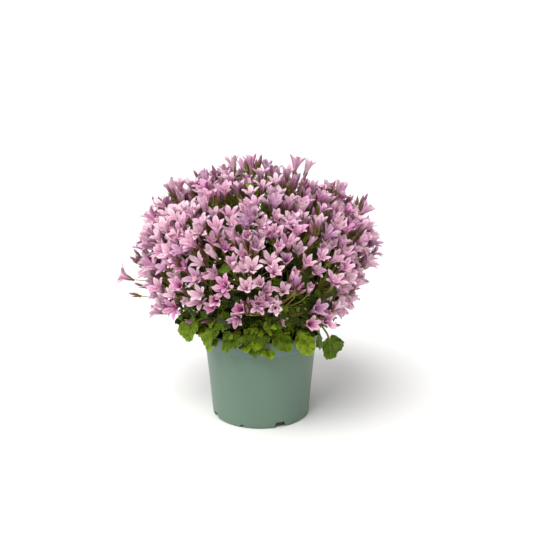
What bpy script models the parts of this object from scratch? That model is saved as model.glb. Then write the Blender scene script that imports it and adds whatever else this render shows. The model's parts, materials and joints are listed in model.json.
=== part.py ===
# Potted bellflower: a dome of five-petalled blooms on leafy stems, in a tapered plastic nursery pot.
# Metres, +Z up. The origin is on the ground under the pot's axis, and -Y is the front.

import math
import random

import bmesh
import bpy
from mathutils import Matrix, Vector, noise
from mathutils.bvhtree import BVHTree

MM = 0.001
UP = Vector((0, 0, 1))
GOLDEN_ANGLE = math.pi * (3 - math.sqrt(5))
FLAT_ENOUGH = math.radians(1.5)

# Pot: a 12 cm nursery pot.
POT_SIDES = 28
POT_HEIGHT = 95 * MM
POT_RIM_RADIUS = 60 * MM
POT_BASE_RADIUS = 49 * MM
POT_HEEL_RADIUS = 50.6 * MM
POT_HEEL_HEIGHT = 3 * MM
POT_NECK_RADIUS = 57.5 * MM
POT_RIM_BAND = 15 * MM
POT_RIM_STEP = 1.2 * MM
POT_WALL = 1.2 * MM
POT_FLOOR_RISE = 6.8 * MM
POT_PAD_RADIUS = 27 * MM
POT_PAD_SLOPE = 2 * MM

# Notches cut in the foot ring, wide and narrow in turn (width at the ground, height), and the drain
# holes behind the wide ones.
NOTCH_COUNT = 8
NOTCH_SIZES = ((16 * MM, 6.2 * MM), (7 * MM, 3.4 * MM))
NOTCH_TAPER = 0.62
FIRST_NOTCH_ANGLE = math.radians(-67.5)
DRAIN_RADIUS = 2.4 * MM
DRAIN_FROM_AXIS = 38 * MM

# Compost: sits on the pot's floor, slightly mounded and lumpy.
SOIL_SIDES = 16
SOIL_GAP = 0.4 * MM
SOIL_EDGE_HEIGHT = 78.5 * MM
SOIL_RINGS = ((52 * MM, 82.5 * MM), (33 * MM, 86.5 * MM))
SOIL_CENTRE_HEIGHT = 88 * MM
SOIL_LUMP = 1.2 * MM
SOIL_LUMP_SIZE = 14 * MM

# Dome that the blooms' mouths lie on: a rounded top over a fuller, squarer underside. It swells and
# sinks a little, and its right side draws in low down and at the shoulder: by how much, and from and
# to which height. One patch at the front has only leaves.
DOME_RADIUS = 114 * MM
DOME_MIDDLE = 181 * MM
DOME_RISE = 74 * MM
DOME_DROP = 80 * MM
DOME_TOP_POWER = 1.9
DOME_UNDER_POWER = 3.6
DOME_LOWEST_BLOOM = 116 * MM
DOME_FRONT_LIFT = 28 * MM
DOME_STEPS = 160
DOME_SWELL = 9 * MM
DOME_SWELL_SIZE = 42 * MM
DOME_TUCKS = ((14 * MM, 170 * MM, 125 * MM), (16 * MM, 200 * MM, 240 * MM))
BARE_PATCH = Vector((30, -96, 143)) * MM
BARE_RADIUS = 20 * MM

BLOOM_COUNT = 166
BLOOM_WANDER = 1.8 * MM
BLOOM_DEPTHS = (0.0, -6.5 * MM, 1.5 * MM)
BLOOM_SLIPS = (0.0, -3 * MM, 3 * MM, -6 * MM, -9 * MM)
BLOOM_LEAN_UP = 0.8
BLOOM_TILT = 0.3
BLOOM_SEED = 11
# Blooms that stand out past the dome, by the middle of their mouths in mm, and closed buds by theirs.
STRAY_BLOOMS = (
    (-140, -6, 150), (-110, 0, 211), (-88, 6, 238), (-54, 4, 247), (-28, 20, 263), (-9, 24, 262),
    (7, 18, 259), (37, 20, 261), (49, 26, 257), (81, 8, 239), (107, -4, 218), (117, -8, 175),
    (47, -90, 124), (62, -86, 126), (-107, -4, 111),
)
STRAY_BUDS = (
    (-126, -11, 143), (-132, -12, 133), (-96, 0, 224), (-42, 18, 252), (17, 22, 254), (90, -10, 214),
    (74, -77, 119),
)

# One bloom, about a third larger than life so that fewer of them cover the dome.
TUBE_LENGTH = 10 * MM
TUBE_RADIUS = 1.1 * MM
THROAT_RADIUS = 4.4 * MM
THROAT_DEPTH = 5.4 * MM
PETAL_KEEL = 1.2 * MM
OPEN_PETAL = {"reach": 15.2 * MM, "lift": 4.4 * MM, "half_width": 4.7 * MM}
HALF_OPEN_PETAL = {"reach": 12 * MM, "lift": 8.2 * MM, "half_width": 4.1 * MM}
HALF_OPEN_SHARE = 0.28
BLOOM_TWISTS = 9
BLOOM_SHRINKS = (1.0, 0.93, 0.86, 0.79, 0.72)

BUD_LENGTH = 11 * MM
BUD_RADIUS = 2.2 * MM

# Flowering stems: each rises from its own hole in the compost and forks into its spray.
STEM_COUNT = 35
STEM_SIDES = 3
STEM_RADIUS = 1.7 * MM
STEM_FORK_RADIUS = 1.5 * MM
STALK_RADIUS = 0.5 * MM
STALK_STARTS = (1.0, 0.8, 0.6, 0.9, 0.7)
STEM_SPREAD = 42 * MM
STEM_FOOT = 72 * MM
STEM_NECK_HEIGHT = 92 * MM
STEM_SEED = 5
HOLE_GAP = 0.6 * MM

# Leafy core of each spray: a rough cone round its stem, which its leaves and blooms stand out of.
# It starts this share of the way from the crown to the dome, and its depths are below the dome.
CROWN = Vector((0, 0, 105 * MM))
CORE_SIDES = 10
CORE_START = 0.4
CORE_TOP_DEPTH = 30 * MM
CORE_RING = ((26 * MM, 1.0), (44 * MM, 0.55))
CORE_WANDER = 3 * MM
FORK_DEPTH = 36 * MM
CORE_WIDEST = math.radians(24)
CORE_FITS = (0.92, 0.84, 0.76, 0.66, 0.55)
LOWEST_LEAN = 42 * MM

# Leaf blade: a circle about an off-centre stalk, notched at the base, with blunt teeth.
STEM_LEAF_LENGTH = 21 * MM
STEM_LEAF_TEETH = 6
STEM_LEAF_TRIES = 16
STEM_LEAF_SINK = 3 * MM
STEM_LEAF_LEAN = 0.5
STEM_LEAVES_BELOW = ((150 * MM, 2), (200 * MM, 1))
STEM_LEAF_TURN = 138
STEM_LEAF_FOOT = 0.3
RIM_LEAF_TEETH = 9
RIM_LEAF_TURN = 150
LEAF_THICKNESS = 1.0 * MM
STEM_LEAF_TOOTH = 0.16
RIM_LEAF_TOOTH = 0.11
PETIOLE_RADIUS = 1.1 * MM
PETIOLE_LEAD = 15 * MM
PETIOLE_LEAD_BELOW_RIM = 0.6  # longer by this share of how far the blade's foot hangs below the rim
PETIOLE_HOLE_RADIUS = 2.5 * MM
RIM_LEAF_START = 48.5 * MM
RIM_LEAF_NUDGES = (0, 3, -3, 6, -6, 9, -9)
# Large lower leaves: compass angle in degrees (0 the front, 90 the right), reach and height of the
# blade's foot in mm, droop and roll in degrees, and length in mm.
RIM_LEAVES = (
    (-4, 59, 107, 58, -8, 24),
    (-25, 61, 103, 34, 14, 21),
    (18, 61, 105, 42, -12, 21.5),
    (40, 64, 101, 60, 10, 22.5),
    (60, 66, 99, 70, -16, 20),
    (84, 72, 80.5, 70, 66, 22.5),
    (108, 69, 105, 36, -6, 21.5),
    (136, 65, 100, 60, 8, 23),
    (165, 69, 105, 32, -14, 23),
    (194, 64, 101, 56, 6, 22),
    (222, 69, 104, 36, -12, 21.5),
    (248, 67, 101, 58, 8, 22),
    (271, 74, 103, 54, 20, 21),
    (292, 71, 106, 38, -20, 22),
    (314, 65, 104, 46, 12, 21.5),
)


# Scene and materials

def clear_scene():
    for obj in list(bpy.data.objects):
        bpy.data.objects.remove(obj)


def make_material(name, colour, roughness):
    material = bpy.data.materials.new(name)
    material.use_nodes = True
    shader = material.node_tree.nodes["Principled BSDF"]
    shader.inputs["Base Color"].default_value = (*colour, 1)
    shader.inputs["Roughness"].default_value = roughness
    shader.inputs["Metallic"].default_value = 0
    return material


def object_from(bm, name, material):
    bmesh.ops.recalc_face_normals(bm, faces=bm.faces)
    mesh = bpy.data.meshes.new(name)
    bm.to_mesh(mesh)
    bm.free()
    mesh.materials.append(material)
    obj = bpy.data.objects.new(name, mesh)
    bpy.context.scene.collection.objects.link(obj)
    return obj


def apply_boolean(obj, operation, collection):
    modifier = obj.modifiers.new("Join", "BOOLEAN")
    modifier.operation = operation
    modifier.operand_type = "COLLECTION"
    modifier.collection = collection
    modifier.solver = "EXACT"
    bpy.context.view_layer.update()
    graph = bpy.context.evaluated_depsgraph_get()
    joined = bpy.data.meshes.new_from_object(obj.evaluated_get(graph))
    obj.modifiers.clear()
    old = obj.data
    obj.data = joined
    bpy.data.meshes.remove(old)
    joined.name = obj.name


def combine(obj, others, operation):
    # One Boolean on a collection, applied; the collection's objects are then removed.
    if not others:
        return
    group = bpy.data.collections.new("joined_pieces")
    for other in others:
        bpy.context.scene.collection.objects.unlink(other)
        group.objects.link(other)
    bpy.context.scene.collection.children.link(group)
    apply_boolean(obj, operation, group)
    for other in others:
        bpy.data.objects.remove(other)
    bpy.data.collections.remove(group)
    merge_flat_faces(obj)


def merge_flat_faces(obj):
    # Joins faces that a Boolean split though they lie in one plane, so that the piece has fewer triangles.
    bm = bmesh.new()
    bm.from_mesh(obj.data)
    bmesh.ops.dissolve_limit(bm, angle_limit=FLAT_ENOUGH, verts=bm.verts, edges=bm.edges, delimit=set())
    bmesh.ops.triangulate(bm, faces=bm.faces)
    bm.to_mesh(obj.data)
    bm.free()


# Shapes shared by several pieces

def turned(profile, sides):
    # The profile runs from the axis, round the section and back to the axis.
    bm = bmesh.new()
    verts = [bm.verts.new((radius, 0, height)) for radius, height in profile]
    edges = [bm.edges.new(pair) for pair in zip(verts, verts[1:])]
    bmesh.ops.spin(bm, geom=verts + edges, cent=(0, 0, 0), axis=(0, 0, 1), angle=math.tau,
                   steps=sides, use_merge=True)
    bmesh.ops.remove_doubles(bm, verts=bm.verts, dist=1e-6)
    return bm


def frame_at(point, along, side, radius):
    along = along.normalized()
    side = (side - along * side.dot(along)).normalized()
    across = along.cross(side)
    turn = Matrix((side, across, along)).transposed().to_4x4()
    return Matrix.Translation(point) @ turn @ Matrix.Diagonal((radius, radius, 1, 1))


def tube(points, radii, sides):
    # A ring extruded from point to point, with its frame carried along without twist.
    tangents = [(b - a).normalized() for a, b in zip(points, points[1:])]
    bends = [tangents[0]] + [(a + b).normalized() for a, b in zip(tangents, tangents[1:])] + [tangents[-1]]
    side = Vector((1, 0, 0)) if abs(bends[0].x) < 0.9 else Vector((0, 1, 0))
    frames = []
    for point, along, radius in zip(points, bends, radii):
        frames.append(frame_at(point, along, side, radius))
        side = frames[-1].to_3x3().col[0].normalized()
    bm = bmesh.new()
    ring = bmesh.ops.create_circle(bm, cap_ends=True, segments=sides, radius=1, matrix=frames[0])["verts"]
    edges = list({edge for vert in ring for edge in vert.link_edges})
    for before, after in zip(frames, frames[1:]):
        grown = bmesh.ops.extrude_edge_only(bm, edges=edges)["geom"]
        verts = {item for item in grown if isinstance(item, bmesh.types.BMVert)}
        edges = [item for item in grown if isinstance(item, bmesh.types.BMEdge) and set(item.verts) <= verts]
        bmesh.ops.transform(bm, matrix=after @ before.inverted(), verts=list(verts))
    bmesh.ops.contextual_create(bm, geom=edges)
    return bm


def bezier(a, b, c, d, steps):
    points = []
    for step in range(steps + 1):
        t = step / steps
        s = 1 - t
        points.append(a * s**3 + b * 3 * s * s * t + c * 3 * s * t * t + d * t**3)
    return points


def ramp(first, last, count):
    return [first + (last - first) * step / (count - 1) for step in range(count)]


# Where the blooms and stems go

def dome_meridian():
    # Points (radius, height) down the dome, with the area of surface above each.
    points = []
    for step in range(DOME_STEPS + 1):
        angle = math.pi * 0.97 * step / DOME_STEPS
        upper = angle < math.pi / 2
        power = 2 / (DOME_TOP_POWER if upper else DOME_UNDER_POWER)
        reach = DOME_RISE if upper else -DOME_DROP
        radius = DOME_RADIUS * math.sin(angle) ** power
        height = DOME_MIDDLE + reach * abs(math.cos(angle)) ** power
        points.append((radius, height))
    areas = [0.0]
    for (r0, z0), (r1, z1) in zip(points, points[1:]):
        areas.append(areas[-1] + math.pi * (r0 + r1) * math.hypot(r1 - r0, z1 - z0))
    return points, areas


def on_meridian(points, areas, share):
    wanted = share * areas[-1]
    index = next(i for i, area in enumerate(areas) if area >= wanted or i == len(areas) - 1)
    index = max(index, 1)
    t = (wanted - areas[index - 1]) / (areas[index] - areas[index - 1])
    (r0, z0), (r1, z1) = points[index - 1], points[index]
    outward = Vector((z0 - z1, 0, r1 - r0)).normalized()
    return r0 + (r1 - r0) * t, z0 + (z1 - z0) * t, outward


def spiral_on_dome(count, wander, seed):
    # Points spread evenly over the dome by the golden angle, each with its outward direction.
    rng = random.Random(seed)
    meridian, areas = dome_meridian()
    found = []
    for index in range(count):
        radius, height, outward = on_meridian(meridian, areas, (index + 0.5) / count)
        turn = Matrix.Rotation(index * GOLDEN_ANGLE, 3, "Z")
        slip = Vector([rng.uniform(-wander, wander) for _ in range(3)])
        point, outward = turn @ Vector((radius, 0, height)), turn @ outward
        point += outward * DOME_SWELL * noise.noise(point / DOME_SWELL_SIZE)
        for tuck, first, last in DOME_TUCKS:
            share = min(max((point.z - first) / (last - first), 0.0), 1.0)
            point.x -= tuck * share * max(0.0, point.x) / DOME_RADIUS
        found.append((point + slip, outward))
    return found


def bloom_grows_at(point):
    # Blooms hang lower at the sides and back than at the front, and leave the bare patch clear.
    frontness = max(0.0, -point.y / max(math.hypot(point.x, point.y), 1e-9))
    lowest = DOME_LOWEST_BLOOM + DOME_FRONT_LIFT * frontness**1.5
    return point.z >= lowest and (point - BARE_PATCH).length > BARE_RADIUS


def bloom_layout():
    # Each bloom: the middle of its mouth, the way it faces, and how far it has opened.
    rng = random.Random(BLOOM_SEED)
    blooms = []
    for stage, strays in (("open", STRAY_BLOOMS), ("bud", STRAY_BUDS)):
        for stray in strays:
            point = Vector(stray) * MM
            facing = (point - Vector((0, 0, DOME_MIDDLE)) + UP * DOME_RADIUS * BLOOM_LEAN_UP).normalized()
            blooms.append({"mouth": point, "facing": facing, "stage": stage})
    for index, (point, outward) in enumerate(spiral_on_dome(BLOOM_COUNT, BLOOM_WANDER, BLOOM_SEED)):
        depth = BLOOM_DEPTHS[index % len(BLOOM_DEPTHS)]
        tilt = Vector([rng.uniform(-BLOOM_TILT, BLOOM_TILT) for _ in range(3)])
        half_open = rng.random() < HALF_OPEN_SHARE
        if not bloom_grows_at(point):
            continue
        facing = (outward + UP * BLOOM_LEAN_UP + tilt).normalized()
        stage = "half_open" if half_open else "open"
        blooms.append({"mouth": point + outward * depth, "facing": facing, "stage": stage})
    return blooms


def stem_layout(blooms):
    # Stems share the blooms out by nearness; a stem with none is left out.
    anchors = [point for point, _ in spiral_on_dome(STEM_COUNT, 0, STEM_SEED)]
    stems = []
    for index, anchor in enumerate(anchors):
        start = STEM_SPREAD * math.sqrt((index + 0.5) / len(anchors))
        azimuth = math.atan2(anchor.y, anchor.x)
        foot = Vector((start * math.cos(azimuth), start * math.sin(azimuth), STEM_FOOT))
        stems.append({"anchor": anchor, "foot": foot, "blooms": []})
    for bloom in blooms:
        nearest = min(stems, key=lambda stem: (stem["anchor"] - bloom["mouth"]).length)
        nearest["blooms"].append(bloom)
    stems = [stem for stem in stems if stem["blooms"]]
    for stem in stems:
        away = stem["anchor"] - CROWN
        away.z = max(away.z, LOWEST_LEAN)
        stem["distance"] = away.length
        stem["axis"] = away.normalized()
    return stems


def out_along(stem, reach):
    return CROWN + stem["axis"] * reach


def stem_path(stem):
    # Straight up out of its hole, over to its own part of the dome, then straight out.
    foot = stem["foot"]
    neck = Vector((foot.x, foot.y, STEM_NECK_HEIGHT))
    entry = out_along(stem, stem["distance"] * CORE_START)
    reach = (entry - neck).length
    curve = bezier(neck, neck + UP * reach * 0.4, entry - stem["axis"] * reach * 0.35, entry, 2)
    return [foot] + curve + [out_along(stem, stem["distance"] - FORK_DEPTH)]


def along_path(path, share):
    # The point at this share of the path's last segment.
    return path[-2].lerp(path[-1], share)


def side_directions(axis, count, first):
    across = axis.orthogonal().normalized()
    return [Matrix.Rotation(first + math.tau * index / count, 3, axis) @ across for index in range(count)]


def cell_angle(stem, stems, side):
    # How far the stem's part of the dome reaches to this side before another stem's begins.
    angle = CORE_WIDEST
    for other in stems:
        lean = side.dot(other["axis"])
        if other is not stem and lean > 0:
            angle = min(angle, math.atan2(1 - stem["axis"].dot(other["axis"]), lean))
    return angle


# Pieces of the plant

def spun_in_five(bm):
    geometry = list(bm.verts) + list(bm.edges) + list(bm.faces)
    bmesh.ops.spin(bm, geom=geometry, cent=(0, 0, 0), axis=(0, 0, 1), angle=math.tau * 4 / 5,
                   steps=4, use_duplicate=True)
    bmesh.ops.remove_doubles(bm, verts=bm.verts, dist=1e-6)


def bloom_shape(petal):
    # One fifth of the bloom, spun into five: bell, throat and a keeled petal. Its foot is left open.
    fifth = Matrix.Rotation(math.tau / 10, 3, "Z")
    notch = Vector((THROAT_RADIUS, 0, TUBE_LENGTH))
    foot = Vector((TUBE_RADIUS, 0, 0))
    wide_reach = THROAT_RADIUS + (petal["reach"] - THROAT_RADIUS) * 0.5
    wide_height = TUBE_LENGTH + petal["lift"] * 0.52
    bm = bmesh.new()
    foot_left = bm.verts.new(fifth.inverted() @ foot)
    foot_right = bm.verts.new(fifth @ foot)
    throat = bm.verts.new((0, 0, TUBE_LENGTH - THROAT_DEPTH))
    left = bm.verts.new(fifth.inverted() @ notch)
    right = bm.verts.new(fifth @ notch)
    keel = bm.verts.new((wide_reach, 0, wide_height - PETAL_KEEL))
    wide_left = bm.verts.new((wide_reach, -petal["half_width"], wide_height))
    wide_right = bm.verts.new((wide_reach, petal["half_width"], wide_height))
    tip = bm.verts.new((petal["reach"], 0, TUBE_LENGTH + petal["lift"]))
    outside = [
        (foot_left, foot_right, keel), (foot_left, keel, left), (foot_right, right, keel),
        (left, wide_left, keel), (wide_left, tip, keel), (tip, wide_right, keel), (wide_right, right, keel),
    ]
    inside = [
        (throat, right, left), (left, right, wide_left), (right, wide_right, wide_left),
        (wide_left, wide_right, tip),
    ]
    for face in outside + inside:
        bm.faces.new(face)
    spun_in_five(bm)
    return bm


def bud_shape():
    fifth = Matrix.Rotation(math.tau / 10, 3, "Z")
    foot = Vector((TUBE_RADIUS, 0, 0))
    shoulder = Vector((BUD_RADIUS, 0, BUD_LENGTH * 0.45))
    bm = bmesh.new()
    foot_left, foot_right = (bm.verts.new(turn @ foot) for turn in (fifth.inverted(), fifth))
    left, right = (bm.verts.new(turn @ shoulder) for turn in (fifth.inverted(), fifth))
    tip = bm.verts.new((0, 0, BUD_LENGTH))
    bm.faces.new((foot_left, foot_right, right, left))
    bm.faces.new((left, right, tip))
    spun_in_five(bm)
    return bm


def add_stalk(bm, base, start):
    # The open foot is drawn out in one length to the stem and closed inside it. Its two ends stay
    # parallel, so that its sides are flat.
    edges = [edge for edge in bm.edges if edge.is_boundary]
    grown = bmesh.ops.extrude_edge_only(bm, edges=edges)["geom"]
    verts = [item for item in grown if isinstance(item, bmesh.types.BMVert)]
    size = STALK_RADIUS / max((vert.co - base).length for vert in verts)
    move = Matrix.Translation(start) @ Matrix.Scale(size, 4) @ Matrix.Translation(-base)
    bmesh.ops.transform(bm, matrix=move, verts=verts)
    bmesh.ops.contextual_create(bm, geom=[edge for edge in bm.edges if edge.is_boundary])
    bmesh.ops.recalc_face_normals(bm, faces=bm.faces)


def blade_outline(length, teeth, turn, tooth):
    # Points round the blade in its own plane, from turn degrees on one side of its tip to the other.
    # The stalk meets it at the origin and +X is its tip.
    radius = length * 0.6
    offset = length - radius
    points = []
    count = 2 * teeth
    for index in range(count + 1):
        angle = math.radians(turn * (2 * index / count - 1))
        reach = offset * math.cos(angle) + math.sqrt(radius**2 - (offset * math.sin(angle)) ** 2)
        reach *= 1 - (tooth if index % 2 else 0)
        points.append(Vector((reach * math.cos(angle), reach * math.sin(angle), 0)))
    return points


def blade_bend(point, length):
    # The blade arches down to its tip and its sides lift a little.
    along = point.x / length
    across = point.y / length
    return Vector((point.x, point.y, length * (0.30 * across**2 - 0.24 * along**2)))


def lens_blade(length, teeth):
    # A blade thickest by its foot and sharp all round. Its foot is an upright edge, to sink in a stem.
    bm = bmesh.new()
    outline = blade_outline(length, teeth, STEM_LEAF_TURN, STEM_LEAF_TOOTH)
    ring = [bm.verts.new(blade_bend(point, length)) for point in outline]
    hub = blade_bend(Vector((length * 0.2, 0, 0)), length)
    top = bm.verts.new(hub + UP * LEAF_THICKNESS * 0.2)
    under = bm.verts.new(hub - UP * LEAF_THICKNESS * 1.3)
    foot = blade_bend(Vector((-length * STEM_LEAF_FOOT, 0, 0)), length)
    high = bm.verts.new(foot + UP * LEAF_THICKNESS * 0.6)
    low = bm.verts.new(foot - UP * LEAF_THICKNESS * 0.6)
    for one, two in zip(ring, ring[1:]):
        bm.faces.new((one, two, top))
        bm.faces.new((two, one, under))
    first, last = ring[0], ring[-1]
    for face in ((last, high, top), (high, first, top), (low, last, under), (first, low, under),
                 (high, last, low), (first, high, low)):
        bm.faces.new(face)
    return bm


def stalked_blade(length, teeth):
    # A blade of even thickness, with the four edges that its stalk grows from left open at the origin.
    bm = bmesh.new()
    stalk = [Vector((0, PETIOLE_RADIUS * side, 0)) for side in (1, -1)]
    points = blade_outline(length, teeth, RIM_LEAF_TURN, RIM_LEAF_TOOTH) + stalk
    drop = UP * LEAF_THICKNESS
    ring = [(bm.verts.new(blade_bend(point, length)), bm.verts.new(blade_bend(point, length) - drop))
            for point in points]
    hub = blade_bend(Vector((length * 0.28, 0, 0)), length) - UP * length * 0.03
    top, under = bm.verts.new(hub), bm.verts.new(hub - drop)
    for index, (one, one_under) in enumerate(ring):
        two, two_under = ring[(index + 1) % len(ring)]
        bm.faces.new((one, two, top))
        bm.faces.new((two_under, one_under, under))
        if index != len(ring) - 2:
            bm.faces.new((one_under, two, one))
            bm.faces.new((one_under, two_under, two))
    return bm


def add_petiole(bm, ahead, points, radii):
    # The open edges are drawn out from ring to ring down to the stalk's foot, and closed there.
    edges = [edge for edge in bm.edges if edge.is_boundary]
    ring = list({vert for edge in edges for vert in edge.verts})
    centre = sum((vert.co for vert in ring), Vector()) / len(ring)
    size = max((vert.co - centre).length for vert in ring)
    for index, (point, radius) in enumerate(zip(points, radii)):
        grown = bmesh.ops.extrude_edge_only(bm, edges=edges)["geom"]
        verts = [item for item in grown if isinstance(item, bmesh.types.BMVert)]
        edges = [item for item in grown if isinstance(item, bmesh.types.BMEdge) and item.is_boundary]
        after = points[min(index + 1, len(points) - 1)]
        along = (centre - after).normalized() if after != point else (centre - point).normalized()
        turn = ahead.rotation_difference(along).to_matrix().to_4x4()
        move = Matrix.Translation(point) @ turn @ Matrix.Scale(radius / size, 4) @ Matrix.Translation(-centre)
        bmesh.ops.transform(bm, matrix=move, verts=verts)
        centre, size, ahead = point.copy(), radius, along
    bmesh.ops.contextual_create(bm, geom=edges)
    bmesh.ops.recalc_face_normals(bm, faces=bm.faces)


def turn_to(origin, x_axis, z_hint):
    x_axis = x_axis.normalized()
    y_axis = z_hint.cross(x_axis).normalized()
    z_axis = x_axis.cross(y_axis)
    return Matrix.Translation(origin) @ Matrix((x_axis, y_axis, z_axis)).transposed().to_4x4()


def stand_on(origin, facing, twist, scale):
    # A shape that grows along +Z, set at the origin and turned about its own axis.
    turn = facing.to_track_quat("Z", "X").to_matrix().to_4x4()
    return Matrix.Translation(origin) @ turn @ Matrix.Rotation(twist, 4, "Z") @ Matrix.Scale(scale, 4)


def tree_of(bm):
    return BVHTree.FromBMesh(bm)


def placed(shape, matrix):
    bm = bmesh.new()
    bm.from_mesh(shape)
    bmesh.ops.transform(bm, matrix=matrix, verts=bm.verts)
    return bm


def crosses(bm, taken, allowed):
    tree = tree_of(bm)
    return any(owner not in allowed and tree.overlap(other) for owner, other in taken)


def shape_mesh(bm, name):
    bmesh.ops.recalc_face_normals(bm, faces=bm.faces)
    mesh = bpy.data.meshes.new(name)
    bm.to_mesh(mesh)
    bm.free()
    return mesh


# Pot and compost

def pot_profiles():
    # Sections from the axis out, up the wall and back in. The floor rests on a flat pad and the foot ring,
    # with a raised channel between them for the drain holes.
    neck_height = POT_HEIGHT - POT_RIM_BAND
    under = [
        (0, 0),
        (POT_PAD_RADIUS, 0),
        (POT_PAD_RADIUS + POT_PAD_SLOPE, POT_FLOOR_RISE),
        (POT_HEEL_RADIUS - POT_WALL - 0.6 * MM, POT_FLOOR_RISE),
        (POT_BASE_RADIUS - POT_WALL - 0.3 * MM, 0),
    ]
    outside = [
        (POT_BASE_RADIUS, 0),
        (POT_HEEL_RADIUS, POT_HEEL_HEIGHT),
        (POT_NECK_RADIUS, neck_height),
        (POT_NECK_RADIUS + POT_RIM_STEP, neck_height + 0.6 * MM),
        (POT_RIM_RADIUS, POT_HEIGHT),
    ]
    floor_top = POT_FLOOR_RISE + POT_WALL
    inside = [
        (POT_RIM_RADIUS - POT_WALL, POT_HEIGHT),
        (POT_NECK_RADIUS - POT_WALL, neck_height),
        (POT_HEEL_RADIUS - POT_WALL + 0.2 * MM, floor_top),
        (POT_PAD_RADIUS + POT_PAD_SLOPE - POT_WALL, floor_top),
        (POT_PAD_RADIUS - POT_WALL, POT_WALL),
        (0, POT_WALL),
    ]
    return under, outside, inside


def notch_cutter(angle, width, height, material):
    # A slot narrower at its top, long enough to pass through the foot ring.
    bm = bmesh.new()
    depth = 12 * MM
    bmesh.ops.create_cube(bm, size=1)
    bmesh.ops.scale(bm, vec=(depth, width, height * 2), verts=bm.verts)
    for vert in bm.verts:
        if vert.co.z > 0:
            vert.co.y *= NOTCH_TAPER
    bmesh.ops.translate(bm, verts=bm.verts, vec=(POT_BASE_RADIUS, 0, 0))
    bmesh.ops.rotate(bm, verts=bm.verts, matrix=Matrix.Rotation(angle, 3, "Z"))
    return object_from(bm, "notch_cutter", material)


def drain_cutter(angle, material):
    bm = bmesh.new()
    bmesh.ops.create_cone(bm, cap_ends=True, segments=6, radius1=DRAIN_RADIUS, radius2=DRAIN_RADIUS,
                          depth=POT_WALL * 4)
    where = Vector((DRAIN_FROM_AXIS, 0, POT_FLOOR_RISE + POT_WALL / 2))
    bmesh.ops.translate(bm, verts=bm.verts, vec=where)
    bmesh.ops.rotate(bm, verts=bm.verts, matrix=Matrix.Rotation(angle, 3, "Z"))
    return object_from(bm, "drain_cutter", material)


def make_pot(material):
    under, outside, inside = pot_profiles()
    pot = object_from(turned(under + outside + inside, POT_SIDES), "pot", material)
    cutters = []
    for index in range(NOTCH_COUNT):
        angle = FIRST_NOTCH_ANGLE + math.tau * index / NOTCH_COUNT
        size = NOTCH_SIZES[index % len(NOTCH_SIZES)]
        cutters.append(notch_cutter(angle, *size, material))
        if size == max(NOTCH_SIZES):
            cutters.append(drain_cutter(angle, material))
    combine(pot, cutters, "DIFFERENCE")
    return pot


def hole_cutter(foot, radius, sides, material):
    # A plain hole a little deeper than what stands in it. A three-sided one follows its stem's own sides.
    low = Vector((foot.x, foot.y, foot.z - HOLE_GAP / 2))
    high = Vector((foot.x, foot.y, POT_HEIGHT))
    return object_from(tube([low, high], [radius, radius], sides), "hole_cutter", material)


def make_soil(feet, material):
    # Lies inside the pot's floor and wall all round, with a lumpy top.
    _, _, inside = pot_profiles()
    _, neck, heel, channel, pad, _ = inside
    shrink = math.cos(math.pi / POT_SIDES)
    profile = [
        (0, pad[1] + SOIL_GAP),
        (pad[0] * shrink - SOIL_GAP, pad[1] + SOIL_GAP),
        (channel[0] * shrink - SOIL_GAP, channel[1] + SOIL_GAP),
        (heel[0] * shrink - SOIL_GAP, heel[1] + SOIL_GAP),
        (neck[0] * shrink - SOIL_GAP, SOIL_EDGE_HEIGHT),
        *SOIL_RINGS,
        (0, SOIL_CENTRE_HEIGHT),
    ]
    bm = turned(profile, SOIL_SIDES)
    for vert in bm.verts:
        if vert.co.z > SOIL_EDGE_HEIGHT + MM:
            vert.co.z += SOIL_LUMP * noise.noise(vert.co / SOIL_LUMP_SIZE)
    soil = object_from(bm, "soil", material)
    combine(soil, [hole_cutter(*foot, material) for foot in feet], "DIFFERENCE")
    return soil


# Leaves and flowering stems

def rim_leaf_pose(spec):
    compass, reach, height, droop, roll, length = spec
    around = Matrix.Rotation(math.radians(compass), 3, "Z")
    outward = around @ Vector((0, -1, 0))
    foot = outward * RIM_LEAF_START + UP * STEM_FOOT
    hub = outward * reach * MM + UP * height * MM
    droop = math.radians(droop)
    along = outward * math.cos(droop) - UP * math.sin(droop)
    face = outward * math.sin(droop) + UP * math.cos(droop)
    face = Matrix.Rotation(math.radians(roll), 3, along) @ face
    return foot, hub, along, face, length * MM


def petiole_path(foot, hub, along):
    # Out of the blade through its notch, over the pot's rim and down into the compost.
    neck = Vector((foot.x, foot.y, POT_HEIGHT - 6 * MM))
    lead = max(POT_HEIGHT + 10 * MM, hub.z + 2 * MM)
    straight = PETIOLE_LEAD + PETIOLE_LEAD_BELOW_RIM * max(0.0, POT_HEIGHT - hub.z)
    curve = bezier(hub, hub - along * straight, Vector((neck.x, neck.y, lead)), neck, 3)
    return curve[1:] + [foot]


def make_rim_leaf(index, spec, material, taken):
    name = f"rim_leaf_{index:02d}"
    for nudge in RIM_LEAF_NUDGES:
        foot, hub, along, face, length = rim_leaf_pose((spec[0] + nudge, *spec[1:]))
        shape = shape_mesh(stalked_blade(length, RIM_LEAF_TEETH), "blade")
        leaf = placed(shape, turn_to(hub, along, face))
        path = petiole_path(foot, hub, along)
        add_petiole(leaf, along, path, ramp(PETIOLE_RADIUS, PETIOLE_RADIUS * 1.15, len(path)))
        if not crosses(leaf, taken, ()):
            taken.append((name, tree_of(leaf)))
            object_from(leaf, name, material)
            return foot
        leaf.free()
    print("no room for", name)
    return None


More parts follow.
